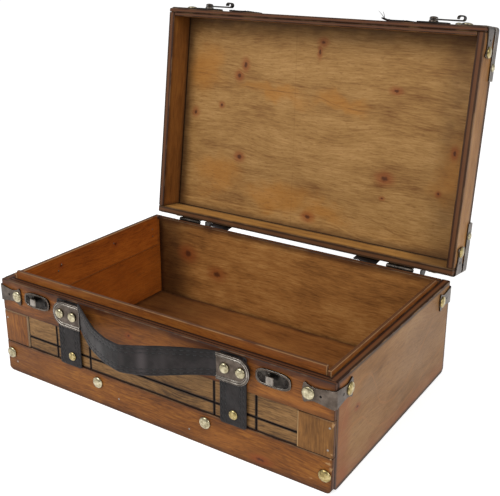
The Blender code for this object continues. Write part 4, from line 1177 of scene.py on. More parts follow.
@dataclass(frozen=True)
class Board:
    """One board of the box: its node, its finish, how its grain runs and what knots it has."""

    node: str
    finish: StainedPlywood
    grain: Grain
    seed: float
    knots: tuple[Knot, ...] = ()
    patches: tuple[Knot, ...] = ()
    lines: tuple[GrainLine, ...] = ()
    chips: tuple[Knot, ...] = ()
    hidden: float = 0.0

    @property
    def on_lid(self) -> bool:
        """Whether the board belongs to the lid."""
        return self.node.startswith("lid_")

    def dress(self) -> None:
        """Gives the board's CAD node its wood."""
        low, high = closed_box(self.node) if self.on_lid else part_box(self.node)
        order = ["XYZ".index(axis) for axis in self.grain.value]
        middle = Vector([(low[i] + high[i]) / 2 * MM for i in order])
        half = Vector([(high[i] - low[i]) / 2 * MM for i in order])
        node = frame["nodes"][self.node]
        piece = new_object(f"{self.node}_stained", bmesh_mesh(self.node, merged(node.data)))
        piece.data.materials.append(self.finish.paint(self, middle, half))
        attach(piece, node["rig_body"])
        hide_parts(self.node)
        LOG.info("board %s: %d faces", piece.name, len(piece.data.polygons))


# Cut lines between the window's small boards, and the frame's shadow at two of its edges.
GROOVE_AND_SHADOW = "#120805"
SCORED = (level_line(43, 2.0, 0.97, GROOVE_AND_SHADOW, 1.0),
          *(cross_line(x, 2.0, 0.97, GROOVE_AND_SHADOW, 1.0) for x in (-107.3, -67.2, 67.2, 107.3)))
WINDOW_SHADOW = (level_line(31.2, 2.0, 0.97, GROOVE_AND_SHADOW, 1.0), cross_line(-143.9, 1.8, 0.95, GROOVE_AND_SHADOW, 1.0))


@dataclass
class WoodenBox:
    """All boards of base and lid."""

    boards: tuple[Board, ...] = (
        Board("front_top_rail", TOP_RAIL_WOOD, Grain.RAIL, 1.3, (Knot(-20, 78, 2, 1.5),),
              (Knot(-52, 80, 20, 9), Knot(25, 74, 26, 7), Knot(150, 70, 20, 6)),
              (level_line(94, 8.0, 0.6, "#3c1d16", 0.5),)),
        Board("front_bottom_rail", FRONT_WOOD, Grain.RAIL, 2.1, (Knot(112, 7, 5, 2),),
              (Knot(-110, 16, 30, 8), Knot(90, 12, 45, 8)),
              (level_line(0, 7.0, 0.5, "#3a2114", 0.6), cross_line(-178, 110.0, 0.32, "#4f2c15", 0.8)),
              chips=(Knot(171.5, 26.5, 3.2, 1.4), Knot(173.6, 22.5, 1.6, 2.6), Knot(173.2, 30, 1.2, 1.6),
                     Knot(157.4, 8.4, 2.4, 0.7))),
        Board("front_stile_left", LEFT_STILE_WOOD, Grain.STILE, 3.7,
              lines=(level_line(-144.3, 1.1, 0.85, "#b09a80", 0.9),)),
        Board("front_stile_right", PALE_STILE_WOOD, Grain.STILE, 4.2,
              lines=(level_line(144.3, 1.2, 0.85, "#d9b27c", 0.8),),
              chips=(Knot(35, 174, 1.6, 1.0), Knot(60, 174.2, 3.0, 0.8))),
        Board("base_front_panel", WINDOW_WOOD, Grain.RAIL, 5.9, lines=(*SCORED, *WINDOW_SHADOW)),
        Board("base_side_left", SIDE_WOOD, Grain.SIDE, 6.4),
        Board("base_side_right", SIDE_WOOD, Grain.SIDE, 7.7, (Knot(-75, 57, 2.5, 1.6),),
              # Two patches of painted sheen on the upper face.
              (Knot(50, 56, 70, 36), Knot(-50, 60, 24, 16)),
              (level_line(-4, 26.0, 0.55, "#87491f", 0.5),
               GrainLine(((-112, 0), (-108, 47), (-110, 94)), 30.0, 0.7, "#8b4a20", 0.6, crosses=True),
               GrainLine(((-100, 52), (-80, 74), (-62, 78), (-44, 62), (-30, 38), (0, 30), (30, 40)),
                         1.8, 0.4, "#a8713f", 0.3),
               GrainLine(((-100, 40), (-70, 44), (-52, 30), (-20, 14), (40, 18)), 1.6, 0.35, "#a8713f", 0.3),
               level_line(-1, 6.0, 0.55, "#3f2413", 0.7))),
        Board("base_back_board", BACK_WOOD, Grain.RAIL, 8.8, (Knot(-126, 58, 6, 5), Knot(-87, 42, 6, 4)),
              # Painted shadow: a dark band at the left end, where the left wall shades the back wall.
              lines=(cross_line(-170, 60.0, 0.72, "#2c1508", 0.9),)),
        Board("base_floor", FLOOR_WOOD, Grain.FLAT, 9.1, lines=(
            # Painted shadow: the floor darkens towards the left wall, which shades it.
            GrainLine(((-160, -108), (-160, 0), (-150, 108)), 110.0, 0.5, "#32180a", 0.85, crosses=True),)),
        Board("lip_front", LIP_WOOD, Grain.RAIL, 10.3),
        Board("lip_left", LEFT_LIP_WOOD, Grain.SIDE, 11.9,
              (Knot(30.5, 85.8, 2.5, 2), Knot(-48.2, 87.7, 2, 2))),
        Board("lip_right", LIP_WOOD, Grain.SIDE, 12.2),
        Board("lid_front_facing", TOP_RAIL_WOOD, Grain.RAIL, 13.6),
        Board("lid_front_board", BACK_WOOD, Grain.RAIL, 14.7),
        Board("lid_back_board", LID_BACK_WOOD, Grain.RAIL, 15.4,
              lines=(cross_line(168, 55.0, 0.5, "#4f3a28", 0.9),)),
        Board("lid_side_left", LID_SIDE_WOOD, Grain.SIDE, 16.5),
        Board("lid_side_right", LID_SIDE_WOOD, Grain.SIDE, 17.1),
        Board("lid_panel", LID_WOOD, Grain.FLAT, 18.8,
              (Knot(1.9, -89.2, 3, 2.5), Knot(-1, -80, 1.5, 4), Knot(-89.7, -59.5, 2.5, 4),
               Knot(-96.9, -47.9, 3, 3), Knot(86.6, -48.9, 3.5, 2), Knot(-152.4, -2.2, 2.5, 3),
               Knot(-117.4, -13.9, 2, 2), Knot(-89.3, 39.8, 3.5, 3), Knot(84.3, 37.6, 5, 3.5),
               Knot(152.1, 3.1, 2, 3.5), Knot(141, 43.5, 1.6, 1.6), Knot(84.1, 57.2, 1.5, 1.2),
               Knot(2.3, 91, 4, 3)),
              (Knot(-143, -50, 26, 26), Knot(-50, -32, 40, 10), Knot(-117, 64, 36, 22), Knot(-39, 78, 44, 16),
               Knot(16, 86, 30, 12), Knot(27, -31, 36, 8), Knot(150, 20, 16, 30)),
              (GrainLine(((-170, -45), (-127, -44), (-117, -40), (-76, -36), (-40, -35.5), (3, -34),
                          (22, -28.5), (45, -26), (79, -25), (105, -19), (126, -14.5), (170, -9)), 0.9, 0.65),
               GrainLine(((-170, -52), (-60, -45), (20, -40), (60, -36), (110, -27), (170, -20)), 0.8, 0.35),
               GrainLine(((-31, -113), (-24.5, -16), (-17, 113)), 0.7, 0.3, crosses=True),
               GrainLine(((-170, 93), (-40, 92), (10, 90), (32, 85), (60, 78), (84, 84), (104, 91),
                          (170, 95)), 1.0, 0.4),
               GrainLine(((-170, 96), (-20, 94), (30, 93), (52, 99), (72, 103), (90, 98), (112, 95),
                          (170, 97)), 1.1, 0.4, "#bf9357", 0.4),
               # Darker bands along the inside corners at the lid's front and left walls.
               level_line(-107, 20.0, 0.5, "#4f331a", 0.6), cross_line(-168, 15.0, 0.5, "#4f331a", 0.6),
               # Painted shade: a broad band darkens the panel towards its right side.
               GrainLine(((161, -113), (158, 0), (164, 113)), 32.0, 0.35, "#5a3d22", 0.4, crosses=True)),
              # The edge darkening begins where the walls hide the panel, so it runs along the inside corners.
              hidden=7.5),
    )

    def build(self) -> None:
        """Dresses every board."""
        for board in self.boards:
            board.dress()


class Shade(Enum):
    """Which finish a face of a metal part gets: its material index."""

    PLAIN = 0
    # The rubbed shade is partly a painted highlight; the bead shade below is a painted dark reflection.
    RUBBED_AND_HIGHLIGHT = 1
    BLACK = 2
    BEAD = 3
    TAB = 4


@dataclass
class SheetMetal:
    """Corner brackets, caps, latches and hinges: the CAD shapes with rolled edges and aged plating."""

    pewter_nodes: tuple[str, ...] = (
        "base_bracket_", "lid_bracket_", "lid_corner_cap_", "latch_plate_", "latch_catch_", "handle_plate_")
    steel_nodes: tuple[str, ...] = ("latch_arm_", "hinge_", "lid_stop_")
    edge_roll: float = 0.00022
    bead_out: float = 0.00575
    rim_out: float = 0.0016
    tab_out: float = 0.0021
    bead_roll: float = 0.0003
    roll_from_deg: float = 38.0

    def build(self) -> None:
        """Makes a refined copy of every sheet metal node."""
        pewter = tuple(finish.paint() for finish in (
            PEWTER, PEWTER_EDGE, BLACK_PLATE, PEWTER_BEAD, PEWTER_TAB))
        steel = (STEEL.paint(), STEEL_EDGE.paint())
        for name, node in sorted(frame["nodes"].items()):
            if name.startswith(self.pewter_nodes):
                self.refine(name, node, pewter, PEWTER.slot)
            elif name.startswith(self.steel_nodes):
                self.refine(name, node, steel, STEEL.slot)

    def shade(self, name: str, middle: Vector) -> Shade:
        """Picks a face's finish from its place.

        Args:
            name: The node's name.
            middle: The face's middle in the closed box.

        Returns:
            The finish.
        """
        out = FRONT_Y - middle.y
        if name.startswith("handle_plate_"):
            # Bead tops take the painted dark reflection between the edge highlights.
            return Shade.BEAD if out > self.bead_out else Shade.PLAIN
        if name.startswith("latch_catch_"):
            if out > self.tab_out:
                return Shade.TAB
            return Shade.PLAIN if out > self.rim_out else Shade.BLACK
        if name.startswith("latch_plate_"):
            return Shade.BLACK if out < self.tab_out else Shade.PLAIN
        return Shade.PLAIN

    def refine(self, name: str, node: Object, metals: Sequence[Material], slot: str) -> None:
        """Copies a node's shape, rolls its edges and dresses it.

        Args:
            name: The node's name.
            node: The node.
            metals: The finish of each shade.
            slot: Not used.
        """
        closed = CLOSE if node["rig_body"] != "base" else Matrix.Identity(4)
        bm = merged(node.data)
        for face in bm.faces:
            shade = self.shade(name, closed @ face.calc_center_median())
            face.material_index = shade.value if name.startswith(self.pewter_nodes) else 0
        piece = new_object(f"{name}_plated", bmesh_mesh(name, bm))
        for metal in metals:
            piece.data.materials.append(metal)
        roll = piece.modifiers.new("roll", "BEVEL")
        roll.width = self.bead_roll if name.startswith("handle_plate_") else self.edge_roll
        roll.segments, roll.limit_method = 2, "ANGLE"
        # Rolled edges take the bright edge finish: rubbed plating with a painted highlight.
        roll.angle_limit, roll.material = math.radians(self.roll_from_deg), Shade.RUBBED_AND_HIGHLIGHT.value
        piece.data = plain_copy(piece)
        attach(piece, node["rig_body"])
        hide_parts(name)
        LOG.info("metal %s: %d faces", piece.name, len(piece.data.polygons))


@dataclass
class LeatherStrip:
    """A strip cut from thick leather: rounded edges, a creased groove where each seam lies, and ripples.

    Sizes are in metres. The route is the strip's middle surface, with the direction out of the leather.
    """

    name: str
    route: list[tuple[Vector, Vector]]
    side: Vector
    thickness: float
    half_width: Callable[[float, float], float]
    seam_insets: tuple[float, ...] = (0.0024, 0.0058)
    seam_from: float = 0.002
    groove_depth: float = 0.00028
    groove_width: float = 0.0006
    seam_share: float = 0.3
    # Bands of painted sheen with some rubbing: place along the strip, width and strength.
    rub_and_sheen_bands: tuple[tuple[float, float, float], ...] = ()
    edge_round: float = 0.0009
    end_inset: float = 0.0002
    ripple: float = 0.00016
    ripple_size: float = 0.011
    step: float = 0.0012
    across: int = 42
    lift: Callable[[float, float, float], tuple[float, float]] | None = None
    places: list[tuple[Vector, Vector, float]] = field(default_factory=list)

    def __post_init__(self) -> None:
        """Spaces the route's stations evenly."""
        lengths = [0.0]
        for (a, _), (b, _) in zip(self.route, self.route[1:]):
            lengths.append(lengths[-1] + (b - a).length)
        total, piece = lengths[-1], 0
        count = max(8, round(total / self.step))
        for i in range(count + 1):
            at = total * i / count
            while piece < len(lengths) - 2 and lengths[piece + 1] < at:
                piece += 1
            share = (at - lengths[piece]) / (lengths[piece + 1] - lengths[piece])
            (a, a_out), (b, b_out) = self.route[piece], self.route[piece + 1]
            self.places.append((a.lerp(b, share), a_out.lerp(b_out, share).normalized(), at))

    @property
    def length(self) -> float:
        """The strip's length."""
        return self.places[-1][2]

    def surface(self, station: int, reach: float, face: int) -> Vector:
        """A point of the strip.

        Args:
            station: Which station along the strip.
            reach: From -1 at one edge to 1 at the other.
            face: 1 on the outer face, -1 on the inner one.

        Returns:
            The point.
        """
        middle, out, at = self.places[station]
        half = self.half_width(at, self.length)
        across = reach * half
        from_edge = min(half * (1 - abs(reach)), at + self.end_inset, self.length - at + self.end_inset)
        height = self.thickness / 2
        if from_edge < self.edge_round:
            height -= self.edge_round - math.sqrt(max(0.0, self.edge_round**2
                                                     - (self.edge_round - from_edge) ** 2))
        if face > 0:
            for inset in self.seam_insets:
                away = (from_edge - inset) / self.groove_width
                height -= self.groove_depth * math.exp(-away * away)
        wave = noise.noise(Vector((at, across, middle.x * 0.1)) / self.ripple_size) * self.ripple
        if self.lift:
            aside, outward = self.lift(at, self.length - at, across)
            across += aside
            wave += outward
        return middle + self.side * across + out * (face * height + wave)

    def marks(self, station: int, reach: float) -> tuple[float, float]:
        """How strongly a seam, and a rubbed band of painted sheen, show at a point, from 0 to 1.

        Args:
            station: Which station along the strip.
            reach: From -1 at one edge to 1 at the other.

        Returns:
            The seam's share and the share of the rubbed band of painted sheen.
        """
        _, _, at = self.places[station]
        half = self.half_width(at, self.length)
        from_edge = half * (1 - abs(reach))
        seam = max(math.exp(-((from_edge - inset) / self.groove_width) ** 2) for inset in self.seam_insets)
        rub_and_sheen_mark = max((strong * math.exp(-((at - place) / wide) ** 2) for place, wide, strong in self.rub_and_sheen_bands),
                     default=0.0)
        inside = self.seam_from < at < self.length - self.seam_from
        return seam * self.seam_share * inside, rub_and_sheen_mark * (1 - 0.6 * reach * reach)

    def mesh(self) -> Mesh:
        """Builds the closed strip, with the attributes "seam" and "rub_and_sheen_mark" for its material.

        Returns:
            The mesh.
        """
        bm = bmesh.new()
        reaches = [math.sin(math.pi / 2 * (2 * i / self.across - 1)) for i in range(self.across + 1)]
        layers = [bm.verts.layers.float.new(label) for label in ("seam", "rub_and_sheen_mark")]
        loops = []
        for station in range(len(self.places)):
            outer = [bm.verts.new(self.surface(station, reach, 1)) for reach in reaches]
            inner = [bm.verts.new(self.surface(station, reach, -1)) for reach in reaches[-2:0:-1]]
            for vert, reach in zip(outer, reaches):
                for layer, share in zip(layers, self.marks(station, reach)):
                    vert[layer] = share
            loops.append(outer + inner)
        for one, other in zip(loops, loops[1:]):
            for i in range(len(one)):
                j = (i + 1) % len(one)
                bm.faces.new((one[i], one[j], other[j], other[i]))
        for loop in (loops[0], loops[-1]):
            bm.faces.new(loop)
        return bmesh_mesh(self.name, bm, 70)

    def seams(self) -> list[list[tuple[Vector, Vector]]]:
        """The lines that the stitches follow, one on each side for each seam.

        Returns:
            Each line's points, with the direction out of the leather.
        """
        lines = []
        for inset in self.seam_insets:
            for sign in (-1, 1):
                line = []
                for station, (_, out, at) in enumerate(self.places):
                    half = self.half_width(at, self.length)
                    if half > inset * 1.5 and self.seam_from < at < self.length - self.seam_from:
                        line.append((self.surface(station, sign * (1 - inset / half), 1), out))
                lines.append(line)
        return lines


@dataclass
class LeatherWork:
    """Handle, base straps and lid straps, with their seams."""

    handle_thickness: float = 0.0020
    handle_half: float = 0.0113
    tail_half: float = 0.0110
    tail: float = 0.0304
    grip_from: float = -0.0717
    grip_to: float = 0.0739
    taper: float = 0.1
    bow: float = 0.0355
    bend_x: float = 0.004
    left_round: float = 0.8
    right_round: float = 0.5
    bulge: float = 0.0018
    bulge_at: float = 0.68
    bulge_wide: float = 0.17
    handle_stations: int = 240
    leather_out: float = 0.0021
    strap_half: float = 0.0127
    strap_thickness: float = 0.0015
    strap_corner: float = 0.0015
    base_strap_low: float = 0.030
    base_strap_high: float = 0.0932
    strap_bend: float = 0.00165
    edge_round: float = 0.0006
    lid_front_gap: float = 0.006
    lid_back_gap: float = -0.0035
    hang_reach: float = 0.011
    hang: float = 0.0024
    hang_wave: float = 0.35
    hang_turn: float = 2.6
    bend_power: float = 1.5
    ear_at: float = 0.0062
    ear_reach: float = 0.0044
    ear_rise: float = 0.0066
    ear_out: float = 0.0028
    ear_from: float = 0.1
    # Bands across the handle: painted sheen where its bends catch the light, with some rubbing; the first is
    # the left leg's grey sheen.
    handle_rub_sheen_bands: tuple[tuple[float, float, float], ...] = (
        (0.045, 0.012, 0.45), (0.117, 0.0028, 0.3), (0.1335, 0.0045, 0.8), (0.150, 0.004, 0.35))
    curl_reach: float = 0.010
    curl_aside: float = 0.0028
    curl_rise: float = 0.0022
    curl_from: float = 0.35
    stitch_pitch: float = 0.0052
    stitch_length: float = 0.0038
    stitch_lean: float = 0.12
    thread: float = 0.0011
    fray_root: Place = (0.001, -0.0022, 0.0012)
    fray_reaches: tuple[Place, ...] = ((-0.0062, -0.0068, -0.001), (-0.0026, -0.0062, 0.0012))
    fray_arch: float = 0.0012
    fray_radius: float = 0.00044

    def build(self) -> None:
        """Builds and dresses every strip."""
        hide, thread = COWHIDE.paint(), THREAD.paint()
        self.add_strip(self.handle(), "handle_strap", "base", hide, thread)
        for side in SIDES:
            self.add_strip(self.base_strap(side), f"base_strap_{side}", "base", hide, thread)
            self.add_strip(self.lid_strap(side), f"lid_strap_{side}", "lid", hide, thread)
        self.add_frayed_threads(thread)

    def add_strip(self, strip: LeatherStrip, node: str, body: str, hide: Material, thread: Material) -> None:
        """Adds a strip and its stitches in place of a CAD node.

        Args:
            strip: The strip, in the closed box's place.
            node: The CAD node that it replaces.
            body: The body that it rides on.
            hide: The leather.
            thread: The stitches' thread.
        """
        piece = new_object(strip.name, strip.mesh())
        piece.data.materials.append(hide)
        stitches = run_tree(f"{strip.name}_stitches", seam_mesh(strip.seams()), SHOP.group(stitch_group), {
            "Pitch": self.stitch_pitch, "Stitch": self.stitch_length, "Thread": self.thread,
            "Lean": self.stitch_lean, "Seed": 3, "Material": thread})
        for obj in (piece, stitches):
            if body == "lid":
                obj.data.transform(OPEN)
            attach(obj, body)
        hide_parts(node)
        LOG.info("leather %s: %d faces", piece.name, len(piece.data.polygons))

    def bowed(self, x: float) -> float:
        """How far the handle stands out of its plates at this place along the box.

        Args:
            x: The place.

        Returns:
            The distance.
        """
        if x <= self.bend_x:
            share = max(0.0, (x - self.grip_from) / (self.bend_x - self.grip_from))
            wave = math.sin(math.pi / 2 * share)
            return self.bow * (self.left_round * wave + (1 - self.left_round) * share)
        share = max(0.0, (self.grip_to - x) / (self.grip_to - self.bend_x))
        wave = (1 - math.cos(math.pi * share)) / 2
        return self.bow * (self.right_round * wave + (1 - self.right_round) * share)

    def handle_width(self, at: float, length: float) -> float:
        """Half the handle's width, round at both ends and a little fuller past its middle.

        Args:
            at: The place along the handle.
            length: The handle's length.

        Returns:
            Half the width there.
        """
        end = min(at, length - at)
        if end < self.tail_half:
            return max(0.0004, math.sqrt(self.tail_half**2 - (self.tail_half - end) ** 2))
        grip = (end - self.tail) / ((length - 2 * self.tail) * self.taper)
        middle = (at - self.tail) / (length - 2 * self.tail)
        full = self.handle_half + self.bulge * math.exp(-((middle - self.bulge_at) / self.bulge_wide) ** 2)
        return self.tail_half + (full - self.tail_half) * min(1.0, max(0.0, grip))

    def handle(self) -> LeatherStrip:
        """The handle, bowed out between its plates and round at both ends.

        Returns:
            The strip.
        """
        upright, last = Vector((0, 0, 1)), self.handle_stations
        start, end = self.grip_from - self.tail, self.grip_to + self.tail
        points = []
        for i in range(last + 1):
            x = start + (end - start) * i / last
            points.append(on_front(x, HANDLE_Z, self.leather_out + self.handle_thickness / 2 + self.bowed(x)))
        route = []
        for i, point in enumerate(points):
            along = (points[min(i + 1, last)] - points[max(i - 1, 0)]).normalized()
            route.append((point, along.cross(upright)))
        return LeatherStrip("handle_leather", route, upright, self.handle_thickness, self.handle_width,
                            ripple=0.00035, seam_from=self.tail + 0.001, rub_and_sheen_bands=self.handle_rub_sheen_bands,
                            lift=self.eared)

    def strap_width(self, at: float, length: float) -> float:
        """Half the width of a strap with round corners at both ends.

        Args:
            at: The place along the strap.
            length: The strap's length.

        Returns:
            Half the width there.
        """
        end = min(at, length - at)
        if end >= self.strap_corner:
            return self.strap_half
        return self.strap_half - self.strap_corner + math.sqrt(
            self.strap_corner**2 - (self.strap_corner - end) ** 2)

    def base_strap(self, side: str) -> LeatherStrip:
        """A short strap down the base's front.

        Args:
            side: Which one.

        Returns:
            The strip.
        """
        out = FIT + self.strap_thickness / 2
        route = [(on_front(STRAP_X[side], z, out), TO_FRONT)
                 for z in (self.base_strap_high, self.base_strap_low)]
        return LeatherStrip(f"base_strap_leather_{side}", route, Vector((1, 0, 0)), self.strap_thickness,
                            self.strap_width)

    def lid_strap(self, side: str) -> LeatherStrip:
        """A strap over the lid's front, top and back. Its back end hangs, and the right one's corner curls.

        Args:
            side: Which one.

        Returns:
            The strip.
        """
        x = STRAP_X[side]
        out = FIT + self.strap_thickness / 2
        route = [(Vector((x, FRONT_Y - out, LID_Z + self.lid_front_gap)), TO_FRONT)]
        for middle_y, turns in ((FRONT_Y + self.edge_round, range(180, 89, -15)),
                                (-FRONT_Y - self.edge_round, range(90, -1, -15))):
            for turn in turns:
                away = Vector((0, math.cos(math.radians(turn)), math.sin(math.radians(turn))))
                route.append((Vector((x, middle_y, TOP_Z - self.edge_round)) + away * self.strap_bend, away))
        route.append((Vector((x, -FRONT_Y + out, LID_Z + self.lid_back_gap)), TO_BACK))
        return LeatherStrip(f"lid_strap_leather_{side}", route, Vector((1, 0, 0)), self.strap_thickness,
                            self.strap_width, lift=self.curled if side == "right" else self.hanging)

    def hanging(self, at: float, from_end: float, across: float) -> tuple[float, float]:
        """How a lid strap's back end hangs away from the lid: outwards only, with a wave across its width."""
        out = self.hang * max(0.0, 1 - from_end / self.hang_reach) ** self.bend_power
        return 0.0, out * (1 + self.hang_wave * math.sin(across / self.strap_half * self.hang_turn))

    def curled(self, at: float, from_end: float, across: float) -> tuple[float, float]:
        """How the right lid strap's loose corner curls besides its hanging end.

        Args:
            at: The place from the strap's front end.
            from_end: The place from its back end.
            across: The place from its middle line.

        Returns:
            The shift along the box, and the one out of the lid.
        """
        aside = max(0.0, -across / self.strap_half - self.curl_from) / (1 - self.curl_from)
        share = (max(0.0, 1 - at / self.curl_reach) * aside) ** self.bend_power
        return -self.curl_aside * share, self.curl_rise * share + self.hanging(at, from_end, across)[1]

    def eared(self, at: float, from_end: float, across: float) -> tuple[float, float]:
        """How the handle's upper edge stands up where it leaves the left plate.

        Args:
            at: The place from the handle's left end.
            from_end: Not used here.
            across: The place from its middle line.

        Returns:
            The shift upwards, and the one out of the box.
        """
        share = math.exp(-((at - self.tail - self.ear_at) / self.ear_reach) ** 2) if at > self.tail else 0.0
        share *= max(0.0, across / self.handle_half - self.ear_from)
        return self.ear_rise * share, self.ear_out * share

    def add_frayed_threads(self, thread: Material) -> None:
        """Adds two threads that stand loose at the right lid strap's curled corner.

        Args:
            thread: Their material.
        """
        bm = bmesh.new()
        corner = Vector((STRAP_X["right"] - self.strap_half, FRONT_Y, LID_Z + self.lid_front_gap))
        start = corner + Vector(self.fray_root)
        turns = [math.tau * k / 6 for k in range(6)]
        ring = [Vector((math.cos(a), 0.3 * math.sin(a), math.sin(a))) for a in turns]
        for reach in self.fray_reaches:
            rings = []
            for share in (i / 8 for i in range(9)):
                arch = Vector((0, 0, self.fray_arch)) * math.sin(math.pi * share)
                middle = start + Vector(reach) * share + arch
                radius = self.fray_radius * (1 - 0.5 * share)
                rings.append([bm.verts.new(middle + around * radius) for around in ring])
            for one, other in zip(rings, rings[1:]):
                for k in range(6):
                    bm.faces.new((one[k], one[(k + 1) % 6], other[(k + 1) % 6], other[k]))
            bm.faces.new(rings[0])
            bm.faces.new(rings[-1])
        piece = new_object("frayed_threads", bmesh_mesh("frayed_threads", bm))
        piece.data.transform(OPEN)
        piece.data.materials.append(thread)
        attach(piece, "lid")
        LOG.info("threads %s: %d faces", piece.name, len(piece.data.polygons))


@dataclass
class Tacks:
    """Domed tacks and rivets of antiqued brass, screws and wire nails."""

    tack_steps: int = 32
    rail_radius: float = 0.0054
    rail_rise: float = 0.0026
    rail_places: Pairs = (
        (-0.169, 0.0195), (-0.0586, 0.0218), (0.0586, 0.0219), (0.169, 0.0154))
    bracket_radius: float = 0.0053
    bracket_rise: float = 0.0019
    bracket_at: float = 0.0214
    bracket_from_rim: float = 0.0129
    sheet_out: float = 0.0015
    cap_side_radius: float = 0.0038
    cap_side_at: float = 0.0345
    cap_flange: float = 0.008
    cap_top_radius: float = 0.0046
    cap_rise: float = 0.0020
    cap_top_at: float = 0.0095
    strap_radius: float = 0.0042
    strap_rise: float = 0.0022
    strap_z: float = 0.0400
    strap_aside: tuple[float, float] = (0.0026, 0.0006)
    strap_out: float = 0.0018
    rivet_radius: float = 0.0045
    rivet_rise: float = 0.0024
    rivet_out: float = 0.0057
    rivet_spread: float = 0.0075
    screw_radius: float = 0.0026
    screw_rise: float = 0.0007
    screw_slot: float = 0.0005
    slot_wide: float = 0.09
    slot_long: float = 0.62
    oval_screw_at: float = 0.0118
    oval_face: float = 0.0014
    oval_heights: tuple[tuple[str, float], ...] = (("base", 0.0825), ("lid", 0.1025))
    hinge_screw_at: float = 0.0065
    hinge_screw_reach: float = 0.0088
    hinge_face: float = 0.0013
    small_screw: float = 0.85
    stop_screw: Place = (0.0182, 0.1146, 0.086)
    nail_radius: float = 0.0009
    nail_rise: float = 0.00025
    nail_sink: float = 0.0006
    front_nails: Pairs = (
        (-0.163, 0.011), (-0.035, 0.0126), (0.042, 0.010), (0.1716, 0.0568), (0.1707, 0.0378),
        (-0.171, 0.0555))
    left_nails: Pairs = (
        (0.091, 0.0843), (0.0914, 0.0759), (0.0279, 0.0872), (-0.0524, 0.0832), (-0.0476, 0.0884))
    lip_inner_x: float = -0.1634
    bracket_hole_at: float = 0.011
    lean: float = 0.03
    dent_depth: float = 0.00015
    dent_size: float = 0.005

    def pattern(self, name: str, radius: float, rise: float) -> Object:
        """One domed head, as a pattern for the others."""
        bm = turned(dome_profile(radius, rise, rise * 0.16), self.tack_steps)
        return new_object(name, bmesh_mesh(name, bm))

    def screw_pattern(self) -> Object:
        """A low round screw head with a cross recess pressed into it.

        Returns:
            The pattern.
        """
        rings = (0.0, 0.12, 0.24, 0.36, 0.48, 0.6, 0.74, 0.88, 1.0)
        top = [(self.screw_radius * r, self.screw_rise * math.sqrt(1 - 0.85 * r * r)) for r in rings]
        bm = turned([*top, (self.screw_radius, -0.0001), (0.0, -0.0001)], 24)
        for vert in bm.verts:
            aside = min(abs(vert.co.x), abs(vert.co.y)) / self.screw_radius
            reach = vert.co.xy.length / self.screw_radius
            if aside < self.slot_wide and reach < self.slot_long and vert.co.z > 0:
                vert.co.z -= self.screw_slot
        return new_object("screw_pattern", bmesh_mesh("screw_pattern", bm, 50))

    def set_heads(self, name: str, pattern: Object, spots: Sequence[Spot],
                  metal: Material, slot: str, body: str, replaced: Sequence[str] = ()) -> None:
        """Sets a pattern on each spot, as one piece.

        Args:
            name: The piece's name.
            pattern: The fastener.
            spots: Where they go.
            metal: Their finish.
            slot: Not used.
            body: The body they ride on.
            replaced: CAD nodes that they stand for.
        """
        piece = run_tree(name, points_mesh(spots), SHOP.group(fastener_group), {
            "Pattern": pattern, "Metal": metal, "Lean": self.lean, "Dent Depth": self.dent_depth,
            "Dent Size": self.dent_size, "Seed": 7})
        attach(piece, body)
        if replaced:
            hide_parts(*replaced)
        LOG.info("fasteners %s: %d", name, len(spots))

    def build(self) -> None:
        """Sets every tack, rivet, screw and nail, and removes their patterns."""
        brass, silvered = BRASS.paint(), RIVET_BRASS.paint()
        patterns = [*self.set_front_heads(brass, silvered), *self.set_corner_heads(brass, silvered)]
        black = BLACK_PLATE.paint()
        patterns += [self.set_screws(black), self.set_nails(WIRE.paint(), black)]
        for pattern in patterns:
            bpy.data.objects.remove(pattern)

    def set_front_heads(self, brass: Material, silvered: Material) -> tuple[Object, ...]:
        """Sets the tacks of the lower rail and the base straps, and the handle's rivets.

        Args:
            brass: Yellow brass.
            silvered: Paler brass.

        Returns:
            The patterns.
        """
        rail = self.pattern("rail_tack_pattern", self.rail_radius, self.rail_rise)
        spots = [Spot(on_front(x, z, FIT), TO_FRONT, spin=i * 1.3)
                 for i, (x, z) in enumerate(self.rail_places)]
        self.set_heads("silvered_rail_tacks", rail, spots[:-1], silvered, BRASS.slot, "base",
                       [f"rail_tack_{side}" for side in ("left_end", "left", "right")])
        self.set_heads("yellow_rail_tack", rail, spots[-1:], brass, BRASS.slot, "base",
                       ["rail_tack_right_end"])
        rivet = self.pattern("rivet_pattern", self.rivet_radius, self.rivet_rise)
        spots = [Spot(on_front(GRIP_X[side] + sign * self.rivet_spread, HANDLE_Z, self.rivet_out), TO_FRONT,
                      spin=sign + GRIP_X[side] * 40) for side in SIDES for sign in (-1, 1)]
        self.set_heads("handle_rivets", rivet, spots, silvered, BRASS.slot, "base",
                       [f"handle_rivet_{side}_{end}" for side in SIDES for end in ("outer", "inner")])
        strap = self.pattern("strap_tack_pattern", self.strap_radius, self.strap_rise)
        spots = [Spot(on_front(STRAP_X[side] + aside, self.strap_z, self.strap_out), TO_FRONT,
                      spin=aside * 300) for side, aside in zip(SIDES, self.strap_aside)]
        self.set_heads("strap_tacks", strap, spots, brass, BRASS.slot, "base")
        return rail, rivet, strap

